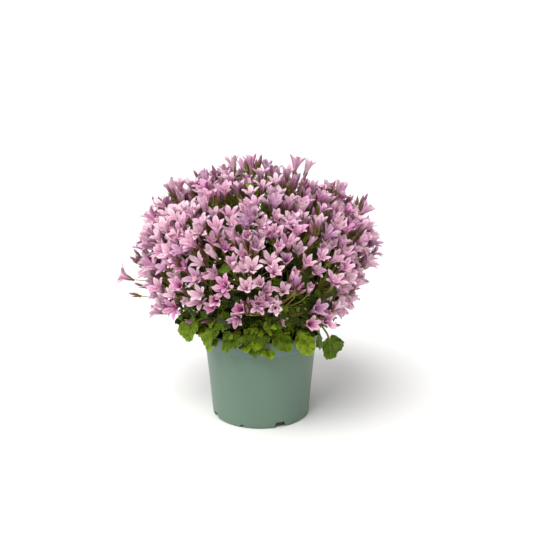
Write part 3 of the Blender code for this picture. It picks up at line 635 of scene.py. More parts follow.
leafSpec = {
    "thickness": 0.35, "roundness": 0.6, "fanPower": 0.8, "lobes": 0.09, "unevenness": 0.08,
    # As shares of its length: its arch along the middle, the lift of its sides, and what ruffles it
    "arch": 0.22, "lift": 0.2, "ripple": 0.07, "frill": 0.045, "pleat": 0.025, "crumple": 0.15,
    # A tooth's length round the edge and its depth in mm, how blunt it is, and the fewest on a leaf
    "toothLength": 3.2, "toothDepth": 1.4, "toothPower": 0.7, "fewestTeeth": 5,
}


def leafSheet(length, turn, across, along, seed):
    # A grid fanned out about the stalk: a heart or kidney-shaped blade with rounded teeth. Its tip is +X
    spec = leafSpec
    radius = length * spec["roundness"]
    offset = length - radius
    teeth = max(spec["fewestTeeth"], round(math.tau * radius * turn / 180 / spec["toothLength"]))
    tooth = spec["toothDepth"] / length
    bm = gridSheet(across, along)
    for vert in bm.verts:
        share = vert.co.x + 0.5
        out = (vert.co.y + 0.5) ** spec["fanPower"]
        angle = math.radians(turn * (2 * share - 1))
        reach = offset * math.cos(angle) + math.sqrt(radius**2 - (offset * math.sin(angle)) ** 2)
        wave = abs(math.sin(math.pi * teeth * share)) ** spec["toothPower"]
        uneven = noise.noise(Vector((math.cos(angle) * 2, math.sin(angle) * 2, seed * 4.7)))
        lobes = spec["lobes"] * math.cos(angle * 5 + seed) + spec["unevenness"] * uneven
        reach *= out * (1 + lobes * out) * (1 - tooth * (1 - wave) * out**4)
        x, y = reach * math.cos(angle), reach * math.sin(angle)
        crumple = noise.noise(Vector((x / length * 2.4, y / length * 2.4, seed * 2.3)))
        height = length * (spec["lift"] * (y / length) ** 2 - spec["arch"] * (x / length) ** 2)
        height += length * spec["ripple"] * math.sin(angle * 3.3 + seed) * out**2
        height += length * spec["frill"] * math.sin(math.pi * teeth * share) * out**3
        height += length * spec["pleat"] * out * (math.cos(angle * 7) - 0.5)
        height += length * spec["crumple"] * crumple
        vert.co = Vector((x, y, height)) * mm
    bmesh.ops.remove_doubles(bm, verts=bm.verts, dist=1e-6)
    addBack(bm, spec["thickness"] * mm)
    return bm


def leafShapes(size, turn, variety, name):
    # Ready leaves of one size that differ in their lobes and ruffles
    return [shapeMesh(leafSheet(size["shape"], turn, size["across"], size["along"], version * variety), name)
            for version in range(size["shapes"])]


# Large leaves that hang over the pot's rim: compass angle in degrees (0 the front, 90 the right), reach
# and height of the blade's foot in mm, droop and roll in degrees, and length in mm, as in the solids
rimLeafSpec = {
    "leaves": (
        (-4, 59, 107, 58, -8, 24), (-25, 61, 103, 34, 14, 21), (18, 61, 105, 42, -12, 21.5),
        (40, 64, 101, 60, 10, 22.5), (60, 66, 99, 70, -16, 20), (84, 72, 80.5, 70, 66, 22.5),
        (108, 69, 105, 36, -6, 21.5), (136, 65, 100, 60, 8, 23), (165, 69, 105, 32, -14, 23),
        (194, 64, 101, 56, 6, 22), (222, 69, 104, 36, -12, 21.5), (248, 67, 101, 58, 8, 22),
        (271, 74, 103, 54, 20, 21), (292, 71, 106, 38, -20, 22), (314, 65, 104, 46, 12, 21.5),
    ),
    "seed": 31, "size": 0.95, "turn": 152, "across": 120, "along": 7, "variety": 1.7, "tone": (0.45, 0.95),
    "start": 48.5, "foot": 72, "potHeight": 95, "stalk": (1.0, 1.15), "stalkSides": 8, "stalkSteps": 8,
    # How the stalk leaves the blade, crosses the rim and goes down inside it
    "lead": 15, "leadBelowRim": 0.6, "overRim": 10, "overBlade": 2, "insideRim": 6,
}


def rimLeafPose(compass, reach, height, droop, roll):
    outward = Matrix.Rotation(math.radians(compass), 3, "Z") @ Vector((0, -1, 0))
    foot = outward * rimLeafSpec["start"] * mm + up * rimLeafSpec["foot"] * mm
    hub = outward * reach * mm + up * height * mm
    droop = math.radians(droop)
    along = outward * math.cos(droop) - up * math.sin(droop)
    face = outward * math.sin(droop) + up * math.cos(droop)
    face = Matrix.Rotation(math.radians(roll), 3, along) @ face
    return foot, hub, along, face


def petiolePath(foot, hub, along):
    # Out of the blade through its notch, over the pot's rim and down into the compost
    spec = rimLeafSpec
    top = spec["potHeight"] * mm
    neck = Vector((foot.x, foot.y, top - spec["insideRim"] * mm))
    lead = max(top + spec["overRim"] * mm, hub.z + spec["overBlade"] * mm)
    straight = spec["lead"] * mm + spec["leadBelowRim"] * max(0.0, top - hub.z)
    curve = bezier(hub, hub - along * straight, Vector((neck.x, neck.y, lead)), neck, spec["stalkSteps"])
    return curve + [foot]


def makeRimLeaves(leafMaterial, stemMaterial):
    spec = rimLeafSpec
    rng = random.Random(spec["seed"])
    for index, (*pose, length) in enumerate(spec["leaves"]):
        foot, hub, along, face = rimLeafPose(*pose)
        blade = leafSheet(length * spec["size"], spec["turn"], spec["across"], spec["along"],
                          index * spec["variety"])
        bm = emptyPiece()
        tone = rng.uniform(*spec["tone"])
        addShape(bm, shapeMesh(blade, "rimBlade"), turnTo(hub, along, face), tone)
        path = petiolePath(foot, hub, along)
        addTube(bm, path, taper(*spec["stalk"], len(path)), spec["stalkSides"], tone, 1)
        leaf = newObject(bm, f"rimLeaf_{index:02d}", [leafMaterial, stemMaterial])
        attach(leaf, "root")
        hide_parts(f"rim_leaf_{index:02d}")
    print("rim leaves:", len(spec["leaves"]))


# Sprays: stems, stalks, leaves and blooms

spraySpec = {
    "seed": 23, "stemRadius": (1.25, 1.0), "stemSides": 6, "stemTone": (0.3, 0.7),
    "stalkRadius": (0.75, 0.5), "stalkSides": 4, "stalkSteps": 4, "stalkTone": (0.1, 0.8),
    "stalkStarts": (0.35, 0.95), "stalkPull": 0.35, "stalkWander": 0.1,
    # Blooms between those of the solids. Their depths are counted outward from the dome's surface
    "candidates": 2200, "slip": 3, "slack": 3, "gapBlooms": 255, "closeBlooms": 235,
    "depths": (2.0, -12.0), "tilt": 0.5, "stages": ("open", "open", "halfOpen"),
    # They thin out below and above these heights, each over so many mm, by these shares
    "thinBelow": (185, 30), "thinAbove": (222, 25), "thinLow": 0.22, "thinHigh": 0.25, "thinClose": 0.7,
    "topFrom": 205, "deeperAtTop": 5, "proud": (4, 205, 8),  # one in how many, how high up, how far out
    "lowBlooms": ((-69, -20, 104, "halfOpen"), (-54, -40, 112, "bud"), (-23, -72, 124, "open"),
                  (18, -70, 124, "halfOpen")),
    "lowDip": -8,
    "frontBlooms": ((-69, -80, 207), (-62, -89, 202), (-56, -84, 213), (-12, -83, 229)), "frontLeanUp": 0.4,
}


def crowding(point):
    # Blooms crowd the middle, and thin out low down and at the top, where their stalks show between them
    spec = spraySpec
    below, lowFade = spec["thinBelow"]
    above, highFade = spec["thinAbove"]
    low = clamped((below - point.z / mm) / lowFade)
    high = clamped((point.z / mm - above) / highFade)
    return 1 - spec["thinLow"] * low - spec["thinHigh"] * high, high, low


def extraBlooms(blooms):
    # More blooms: some in the widest gaps left between the others, then some close beside one of them
    spec = spraySpec
    rng = random.Random(spec["seed"])
    placed = [bloom["mouth"] for bloom in blooms]
    places = spiralOnDome(spec["candidates"], spec["slip"] * mm, spec["seed"])
    spots = [(point, outward) for point, outward in places if bloomGrowsAt(point, spec["slack"])]
    gaps = [min((point - other).length for other in placed) for point, _ in spots]
    weights = [crowding(point)[0] for point, _ in spots]
    chosen = []
    for _ in range(spec["gapBlooms"]):
        index = max(range(len(spots)), key=lambda i: gaps[i] * weights[i])
        point, outward = spots[index]
        chosen.append((point, outward))
        gaps = [min(gap, (candidate - point).length) for gap, (candidate, _) in zip(gaps, spots)]
    for point, outward in rng.sample(spots, spec["closeBlooms"]):
        if rng.random() > sum(crowding(point)[1:]) * spec["thinClose"]:
            chosen.append((point, outward))
    extra = []
    proudStep, proudFrom, proud = spec["proud"]
    for index, (point, outward) in enumerate(chosen):
        tilt = anyWay(rng) * spec["tilt"]
        depth = rng.uniform(*spec["depths"]) - spec["deeperAtTop"] * crowding(point)[1]
        if index % proudStep == 0 and point.z > proudFrom * mm:
            depth += proud
        facing = (outward + up * bloomPlaces["leanUp"] + tilt).normalized()
        mouth = point + outward * depth * mm
        extra.append({"mouth": mouth, "facing": facing, "stage": rng.choice(spec["stages"])})
    for x, y, z, stage in spec["lowBlooms"]:
        facing = Vector((x, y, spec["lowDip"])).normalized()
        extra.append({"mouth": Vector((x, y, z)) * mm, "facing": facing, "stage": stage})
    for spot in spec["frontBlooms"]:
        mouth = Vector(spot) * mm
        facing = (mouth - Vector((0, 0, domeSpec["middle"] * mm))).normalized() + up * spec["frontLeanUp"]
        extra.append({"mouth": mouth, "facing": facing.normalized(), "stage": "open"})
    print("extra blooms:", len(extra))
    return extra


budGroupSpec = {
    "groups": 100, "topGroups": 42, "buds": (2, 5), "beside": (8, 12), "ahead": (-4, 3), "spread": 5,
    "leanAside": 0.3, "leanUp": 0.4, "tilt": 0.3,
}


def extraBuds(blooms):
    # Closed buds in small groups beside some of the blooms
    spec = budGroupSpec
    rng = random.Random(spraySpec["seed"] + 1)
    buds = []
    hosts = [bloom for bloom in blooms if bloom["stage"] != "bud"]
    high = [bloom for bloom in hosts if bloom["mouth"].z > spraySpec["topFrom"] * mm]
    for bloom in rng.sample(hosts, spec["groups"]) + rng.sample(high, spec["topGroups"]):
        host = bloom["facing"]
        side = Matrix.Rotation(rng.uniform(0, math.tau), 3, host) @ host.orthogonal().normalized()
        middle = bloom["mouth"] + side * rng.uniform(*spec["beside"]) * mm
        middle += host * rng.uniform(*spec["ahead"]) * mm
        for _ in range(rng.randint(*spec["buds"])):
            spread = anyWay(rng)
            facing = host + side * spec["leanAside"] + up * spec["leanUp"] + spread * spec["tilt"]
            buds.append({"mouth": middle + spread * spec["spread"] * mm, "facing": facing.normalized(),
                         "stage": "bud"})
    print("extra buds:", len(buds))
    return buds


fillSpec = {
    "count": 860, "slip": 6, "depths": (13, 50), "lowest": 100, "length": (6, 11),
    "faceUp": 0.5, "tilt": 0.45, "tipOut": 0.5, "tipDown": 0.4,
    "tone": (0.8, 50, 0.15),  # painted shade: the most at the surface, the depth in mm that takes 1 off it, the least
    "topDepth": 0.45, "topLength": 0.25, "topPaintedLight": 0.12,  # less deep, shorter, and lighter at the top with painted light
    # Patches that show only leaves: middle, the way they face, radius and how many
    "patches": ((domeSpec["barePatch"], domeSpec["barePatch"], domeSpec["bareRadius"], 46),
                ((-74, -16, 112), (-0.35, -0.9, 0), 12, 40)),
    "patchDepths": (3, 18), "patchUp": 0.6, "patchTilt": 0.5, "tipTilt": 10, "tipDrop": 5,
    "patchLength": 0.75, "patchTone": (0.1, 0.75),
    "shape": 10, "shapes": 8, "turn": 150, "across": 18, "along": 2, "variety": 2.1,
    "stalk": 0.6, "stalkFoot": 0.6, "stalkBow": 1.5, "stalkTone": 0.4,
}


def hungLeaf(place, face, tip, length, tone):
    face = face.normalized()
    tip = (tip - face * tip.dot(face)).normalized()
    return {"place": place, "face": face, "tip": tip, "length": length, "tone": tone}


def fillLeaves():
    # Small leaves under the blooms, their faces outward and their tips hanging. The deeper ones are painted
    # darker as shade, and those near the top are painted lighter as light
    spec = fillSpec
    seed = spraySpec["seed"] + 2
    rng = random.Random(seed)
    lightest, paintedShadeFade, darkest = spec["tone"]
    leaves = []
    for point, outward in spiralOnDome(spec["count"], spec["slip"] * mm, seed):
        high = crowding(point)[1]
        depth = rng.uniform(*spec["depths"]) * mm * (1 - spec["topDepth"] * high)
        place = point - outward * depth
        if place.z < spec["lowest"] * mm:
            continue
        face = outward + up * spec["faceUp"] + anyWay(rng) * spec["tilt"]
        tip = anyWay(rng) + outward * spec["tipOut"] - up * spec["tipDown"]
        length = rng.uniform(*spec["length"]) * (1 - spec["topLength"] * high)
        # Painted shade: the deeper the leaf lies, the darker its tone, and painted light lifts it near the
        # top
        tone = rng.random() * max(darkest, lightest - depth / (paintedShadeFade * mm)) + spec["topPaintedLight"] * high
        leaves.append(hungLeaf(place, face, tip, length, tone))
    for middle, facing, radius, count in spec["patches"]:
        outward = Vector((facing[0], facing[1], 0)).normalized()
        for _ in range(count):
            spread = anyWay(rng) * radius * mm
            spread -= outward * spread.dot(outward)
            depth = rng.uniform(*spec["patchDepths"]) * mm
            tilt = anyWay(rng)
            face = outward + up * spec["patchUp"] + tilt * spec["patchTilt"]
            tip = spread + tilt * spec["tipTilt"] * mm - up * spec["tipDrop"] * mm
            length = rng.uniform(*spec["length"]) * spec["patchLength"]
            place = Vector(middle) * mm + spread - outward * depth
            leaves.append(hungLeaf(place, face, tip, length, rng.uniform(*spec["patchTone"])))
    return leaves


flowerSpec = {
    "scale": (0.86, 1.1), "budScale": (0.75, 1.1), "squeeze": (0.92, 1.0), "openFrom": 0.5,
    # Stray blooms stand wide open, but less so high up, where they are longer too, and low down
    "topOpenness": (0.3, 0.66), "topStretch": 1.22, "stretchBack": 1.6,
    "lowBelow": 135, "lowOpenness": (0.35, 0.6),
    "calyxTone": 0.4, "topCalyxPaintedLight": 0.5,  # the lightest calyx's, and how much more at the top as painted light
}


def addFlower(petals, bloom, shapes, rng):
    # One bloom or bud. It gives back the foot of its tube and its twist, for the calyx and the stalk
    spec = flowerSpec
    facing, mouth = bloom["facing"], bloom["mouth"]
    tube = bloomPlaces["tube"] * mm
    scale = rng.uniform(*spec["scale"])
    twist = rng.uniform(0, math.tau)
    tone = rng.random()
    base = mouth - facing * tube * scale
    if bloom["stage"] == "bud":
        grow = rng.uniform(*spec["budScale"])
        addShape(petals, shapes["bud"], standOn(base, facing, twist, (grow, grow, grow)), tone)
        return base, twist
    isOpen = bloom["stage"] == "open"
    openness = rng.choice([o for o in bloomSpec["openness"] if (o >= spec["openFrom"]) == isOpen])
    double = rng.random() < bloomSpec["doubleShare"]
    tall = 1.0
    if "stray" in bloom:
        high, low = mouth.z > spraySpec["topFrom"] * mm, mouth.z < spec["lowBelow"] * mm
        double, openness = False, 1.0
        if high or low:
            least, most = spec["topOpenness" if high else "lowOpenness"]
            openness = rng.choice([o for o in bloomSpec["openness"] if least <= o <= most])
        if high:
            tall = spec["topStretch"]
            base -= facing * (tall - 1) * tube * spec["stretchBack"]
    shape = rng.choice(shapes["bloom"][openness, double])
    matrix = standOn(base, facing, twist, (scale, scale * rng.uniform(*spec["squeeze"]), scale * tall))
    addShape(petals, shape, matrix, tone)
    if openness > spec["openFrom"] and not double:
        addShape(petals, shapes["style"], matrix, tone, 1)
    return base, twist


def addStalk(greens, stem, path, base, facing, rng):
    # From the stem's upper part up into the foot of a bloom
    spec = spraySpec
    start = path[-3].lerp(path[-1], rng.uniform(*spec["stalkStarts"]))
    reach = (base - start).length
    bend = stem["axis"] * reach * spec["stalkPull"]
    wander = anyWay(rng) * reach * spec["stalkWander"]
    curve = bezier(start, start + bend + wander, base - facing * reach * spec["stalkPull"], base,
                   spec["stalkSteps"])
    radii = taper(*spec["stalkRadius"], len(curve))
    addTube(greens, curve, radii, spec["stalkSides"], rng.uniform(*spec["stalkTone"]), 1)


def addFillLeaf(greens, leaf, path, shapes, rng):
    spec = fillSpec
    place = leaf["place"]
    matrix = turnTo(place, leaf["tip"], leaf["face"], leaf["length"] / spec["shape"])
    addShape(greens, rng.choice(shapes), matrix, leaf["tone"])
    root = place.lerp(path[-2], spec["stalkFoot"])
    bow = place.lerp(root, 0.5) + up * spec["stalkBow"] * mm
    addTube(greens, [root, bow, place], [spec["stalk"] * mm] * 3, 3, spec["stalkTone"], 1)


def readyShapes():
    spec = bloomSpec
    noise.seed_set(spec["noiseSeed"])  # or else the petals' noise is drawn from the clock
    blooms = {(openness, double): [bloomShape(openness, version + openness * spec["variety"], double)
                                   for version in range(spec["versions"])]
              for openness in spec["openness"] for double in (False, True)}
    shapes = {"bloom": blooms, "bud": budShape(), "calyx": calyxShape(), "style": styleShape(),
              "leaf": leafShapes(fillSpec, fillSpec["turn"], fillSpec["variety"], "smallLeaf")}
    print("shapes ready")
    return shapes


def makeSprays(materials):
    spec = spraySpec
    rng = random.Random(spec["seed"] + 3)
    blooms = solidBlooms()
    stems = stemLayout(blooms)
    more = extraBlooms([bloom for bloom in blooms if "stray" not in bloom])
    more += extraBuds(blooms + more)
    for bloom in more:
        nearestStem(stems, bloom["mouth"])["blooms"].append(bloom)
    for leaf in fillLeaves():
        nearestStem(stems, leaf["place"])["leaves"].append(leaf)
    shapes = readyShapes()
    for index, stem in enumerate(stems):
        petals, greens = emptyPiece(), emptyPiece()
        path = stemPath(stem)
        radii = taper(*spec["stemRadius"], len(path))
        addTube(greens, path, radii, spec["stemSides"], rng.uniform(*spec["stemTone"]), 1)
        for bloom in stem["blooms"]:
            base, twist = addFlower(petals, bloom, shapes, rng)
            # Painted light: calyces near the top are given lighter, greener tones
            lightest = flowerSpec["calyxTone"] + flowerSpec["topCalyxPaintedLight"] * crowding(bloom["mouth"])[1]
            matrix = standOn(base, bloom["facing"], twist, (1, 1, 1))
            addShape(greens, shapes["calyx"], matrix, rng.uniform(0, lightest), 1)
            addStalk(greens, stem, path, base, bloom["facing"], rng)
        for leaf in stem["leaves"]:
            addFillLeaf(greens, leaf, path, shapes["leaf"], rng)
        node = f"spray_{index:02d}"
        for bm, kind, slot, used in ((petals, "petals", "petals", (materials["petal"], materials["style"])),
                                     (greens, "greens", "leaf", (materials["leaf"], materials["stem"]))):
            piece = newObject(bm, f"{kind}_{index:02d}", used)
            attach(piece, "root")
            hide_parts(node)
    print("sprays:", len(stems))


# Low leaves that fill the space between the rim and the blooms

skirtSpec = {
    "seed": 41, "turn": 158, "variety": 1.3,
    "gap": (21, 101, 9),  # where only stalks and shade show at the front: across, height and radius
    "large": {"count": 60, "shapes": 20, "length": (10, 16), "shape": 13, "across": 56, "along": 4,
              "reach": (22, 42), "top": 122, "stalkShare": 1.0},
    "small": {"count": 460, "shapes": 16, "length": (4.5, 9.5), "shape": 7.5, "across": 24, "along": 2,
              "reach": (20, 47), "top": 138, "stalkShare": 0.45},
    # How much lower the outermost stand, how they droop and turn, and the painted shade that makes the inner
    # ones darker and the outer ones lighter
    "reachSlip": (-5, 5), "fall": 24, "heightSlip": (-12, 10), "droop": (-15, 40), "outerDroop": 20,
    "turnSlip": (-1.0, 1.0), "faceSlip": 0.5, "tone": (0.05, 1.0), "innerShadeTone": 0.25, "outerShadeLift": 0.9,
    "lightest": 0.74, "stalk": 0.55, "stalkSteps": 4, "stalkIn": 6, "stalkUp": 4, "stalkBow": (0.4, 5),
    "stalkFoot": (0.5, 44, 82),  # its share of the leaf's reach, the most that it may be, and its height
}


def makeSkirt(leafMaterial, stemMaterial):
    spec = skirtSpec
    rng = random.Random(spec["seed"])
    bm = emptyPiece()
    gapAcross, gapHeight, gapRadius = (value * mm for value in spec["gap"])
    footShare, footMost, footHeight = spec["stalkFoot"]
    bowShare, bow = spec["stalkBow"]
    for size in (spec["large"], spec["small"]):
        shapes = leafShapes(size, spec["turn"], spec["variety"], "lowLeaf")
        inner, spread = size["reach"]
        for index in range(size["count"]):
            around = index * goldenAngle
            share = math.sqrt((index + 0.5) / size["count"])
            reach = (inner + spread * share + rng.uniform(*spec["reachSlip"])) * mm
            height = (size["top"] - spec["fall"] * share**2 + rng.uniform(*spec["heightSlip"])) * mm
            outward = Vector((math.cos(around), math.sin(around), 0))
            hub = outward * reach + up * height
            if hub.y < 0 and math.hypot(hub.x - gapAcross, hub.z - gapHeight) < gapRadius:
                continue
            droop = math.radians(rng.uniform(*spec["droop"]) + spec["outerDroop"] * share)
            along = outward * math.cos(droop) - up * math.sin(droop)
            along = Matrix.Rotation(rng.uniform(*spec["turnSlip"]), 3, "Z") @ along
            face = outward * math.sin(droop) + up * math.cos(droop) + anyWay(rng, spec["faceSlip"])
            # Painted shade: leaves nearer the plant's middle get darker tones, and each leaf's stalk takes
            # the same tone
            tone = rng.uniform(*spec["tone"]) * (spec["innerShadeTone"] + spec["outerShadeLift"] * share)
            tone = min(spec["lightest"], tone)
            matrix = turnTo(hub, along, face, rng.uniform(*size["length"]) / size["shape"])
            addShape(bm, shapes[index % len(shapes)], matrix, tone)
            foot = outward * min(reach * footShare, footMost * mm) + up * footHeight * mm
            foot = hub.lerp(foot, size["stalkShare"])
            start = hub - outward * spec["stalkIn"] * mm + up * spec["stalkUp"] * mm
            curve = bezier(hub, start, foot.lerp(hub, bowShare) + up * bow * mm, foot, spec["stalkSteps"])
            addTube(bm, curve, [spec["stalk"] * mm] * len(curve), 3, tone, 1)
    skirt = newObject(bm, "lowLeaves", [leafMaterial, stemMaterial])
    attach(skirt, "root")
    print("low leaves ready")


# Pot

potSpec = {
    "height": 95, "rim": 60, "base": 49, "heel": 50.6, "heelHeight": 3, "neck": 57.5, "band": 15,
    "step": 1.2, "wall": 1.2, "floorRise": 6.8, "pad": 27, "padSlope": 2, "steps": 144, "creaseAngle": 40,
    "notchCount": 8, "notches": ((16, 6.2), (7, 3.4)),  # width and height, a wide and a narrow one
    "notchTaper": 0.62, "notchDepth": 12, "notchRound": 0.8, "firstNotch": -67.5,
    "drainRadius": 2.4, "drainFromAxis": 38, "drainSides": 20,
}


def potOutline():
    # (radius, height) from the axis under the floor, up the outside, over the rim and down the inside
    top, rim, base, heel, neck, wall, rise, pad = (potSpec[name] for name in (
        "height", "rim", "base", "heel", "neck", "wall", "floorRise", "pad"))
    shoulder = top - potSpec["band"]
    slopeTop = pad + potSpec["padSlope"]
    floorTop = rise + wall
    return [
        (0, 0.0), (pad, 0.0), (slopeTop, rise), (heel - wall - 0.6, rise), (base - wall - 0.3, 0.3),
        (base - wall, 0.0), (base - 0.3, 0.0), (base + 0.3, 0.7), (heel - 0.25, 2.0),
        (heel, potSpec["heelHeight"]), (heel + 0.3, 5.0),
        ((heel + neck) / 2 - 0.2, (potSpec["heelHeight"] + shoulder) / 2),
        (neck - 0.1, shoulder - 2.0), (neck, shoulder - 0.4), (neck + 0.5, shoulder),
        (neck + 1.0, shoulder + 0.2), (neck + potSpec["step"] + 0.1, shoulder + 0.8), (rim - 0.5, top - 3.4),
        (rim - 0.1, top - 2.6), (rim, top - 0.8), (rim - 0.3, top - 0.15), (rim - 0.75, top),
        (rim - wall - 0.1, top - 0.3),
        (rim - wall - 0.3, top - 1.5), (neck - wall, shoulder), (heel - wall + 0.2, floorTop),
        (slopeTop - wall, floorTop), (pad - wall, wall), (0, wall),
    ]


def notchCutter(index):
    # Cuts one notch out of the foot ring, and above a wide one a drain hole out of the floor
    s = potSpec
    width, height = s["notches"][index % 2]
    bm = bmesh.new()
    bmesh.ops.create_cube(bm, size=1)
    bmesh.ops.scale(bm, vec=(s["notchDepth"] * mm, width * mm, height * 2 * mm), verts=bm.verts)
    for vert in bm.verts:
        if vert.co.z > 0:
            vert.co.y *= s["notchTaper"]
    topEdges = [edge for edge in bm.edges if min(vert.co.z for vert in edge.verts) > 0]
    bmesh.ops.bevel(bm, geom=topEdges, offset=s["notchRound"] * mm, segments=2, profile=0.5, affect="EDGES",
                    material=-1)
    bmesh.ops.translate(bm, verts=bm.verts, vec=(s["base"] * mm, 0, 0))
    if index % 2 == 0:
        where = Matrix.Translation((s["drainFromAxis"] * mm, 0, (s["floorRise"] + s["wall"] / 2) * mm))
        bmesh.ops.create_cone(bm, cap_ends=True, segments=s["drainSides"], radius1=s["drainRadius"] * mm,
                              radius2=s["drainRadius"] * mm, depth=s["wall"] * 4 * mm, matrix=where)
    turn = Matrix.Rotation(math.radians(s["firstNotch"]) + math.tau * index / s["notchCount"], 3, "Z")
    bmesh.ops.rotate(bm, verts=bm.verts, matrix=turn)
    return newObject(bm, "cutter", [])


def makePot(material):
    s = potSpec
    bm = bmesh.new()
    verts = [bm.verts.new((radius * mm, 0, height * mm)) for radius, height in potOutline()]
    edges = [bm.edges.new(pair) for pair in zip(verts, verts[1:])]
    bmesh.ops.spin(bm, geom=verts + edges, cent=(0, 0, 0), axis=(0, 0, 1), angle=math.tau,
                   steps=s["steps"], use_merge=True)
    bmesh.ops.remove_doubles(bm, verts=bm.verts, dist=1e-6)
    bmesh.ops.recalc_face_normals(bm, faces=bm.faces)
    pot = newObject(bm, "moulded_pot", [material], smooth=True)
    group = bpy.data.collections.new("potCutters")
    scene.collection.children.link(group)
    for index in range(s["notchCount"]):
        cutter = notchCutter(index)
        scene.collection.objects.unlink(cutter)
        group.objects.link(cutter)
    cut = pot.modifiers.new("notches", "BOOLEAN")
    cut.operation = "DIFFERENCE"
    cut.operand_type = "COLLECTION"
    cut.collection = group
    cut.solver = "EXACT"
    bpy.context.view_layer.update()
    graph = bpy.context.evaluated_depsgraph_get()
    finished = bpy.data.meshes.new_from_object(pot.evaluated_get(graph))
    pot.modifiers.clear()
    pot.data = finished
    for cutter in list(group.objects):
        bpy.data.objects.remove(cutter)
    bpy.data.collections.remove(group)
    finished.set_sharp_from_angle(angle=math.radians(s["creaseAngle"]))
    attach(pot, "root")
    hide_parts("pot")
    print("pot ready")


# Compost

soilSpec = {
    "radius": 55.5, "edge": 78.5, "middle": 88, "fallPower": 2.2, "rings": 44, "around": 120,
    "footShare": 0.87, "foot": 7,  # its foot's radius as a share of its own, and that foot's height
    "lumps": ((1.6, 14, 0), (1.1, 2.6, 5)),  # height and breadth of the clods and crumbs, and which noise
}


def soilHeight(x, y):
    share = min(math.hypot(x, y) / soilSpec["radius"], 1)
    height = soilSpec["middle"] - (soilSpec["middle"] - soilSpec["edge"]) * share ** soilSpec["fallPower"]
    for rise, breadth, layer in soilSpec["lumps"]:
        height += rise * noise.noise(Vector((x, y, layer)) / breadth)
    return height


def makeSoil(material):
    s = soilSpec
    bm = emptyPiece()
    bmesh.ops.create_circle(bm, cap_ends=False, segments=s["around"], radius=s["radius"])
    edges = list(bm.edges)
    # The side goes down to the pot's floor, then the top is drawn in ring by ring
    low, lowEdges = drawOut(bm, edges)
    for vert in low:
        vert.co = Vector((vert.co.x * s["footShare"], vert.co.y * s["footShare"], s["foot"]))
    bmesh.ops.contextual_create(bm, geom=lowEdges)
    for ring in range(1, s["rings"]):
        verts, edges = drawOut(bm, edges)
        size = (s["rings"] - ring) / (s["rings"] - ring + 1)
        bmesh.ops.scale(bm, vec=(size, size, 1), verts=list(verts))
    bmesh.ops.contextual_create(bm, geom=edges)
    for vert in bm.verts:
        if vert not in low:
            vert.co.z = soilHeight(vert.co.x, vert.co.y)
    bmesh.ops.scale(bm, vec=(mm, mm, mm), verts=bm.verts)
    bmesh.ops.recalc_face_normals(bm, faces=bm.faces)
    for face in bm.faces:
        face.smooth = True
    soil = newObject(bm, "peat_compost", [material])
    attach(soil, "root")
    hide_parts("soil")
    print("compost ready")


# Materials. A pattern's scale is how many of it go into a metre, so 200 makes its grains 5 mm across

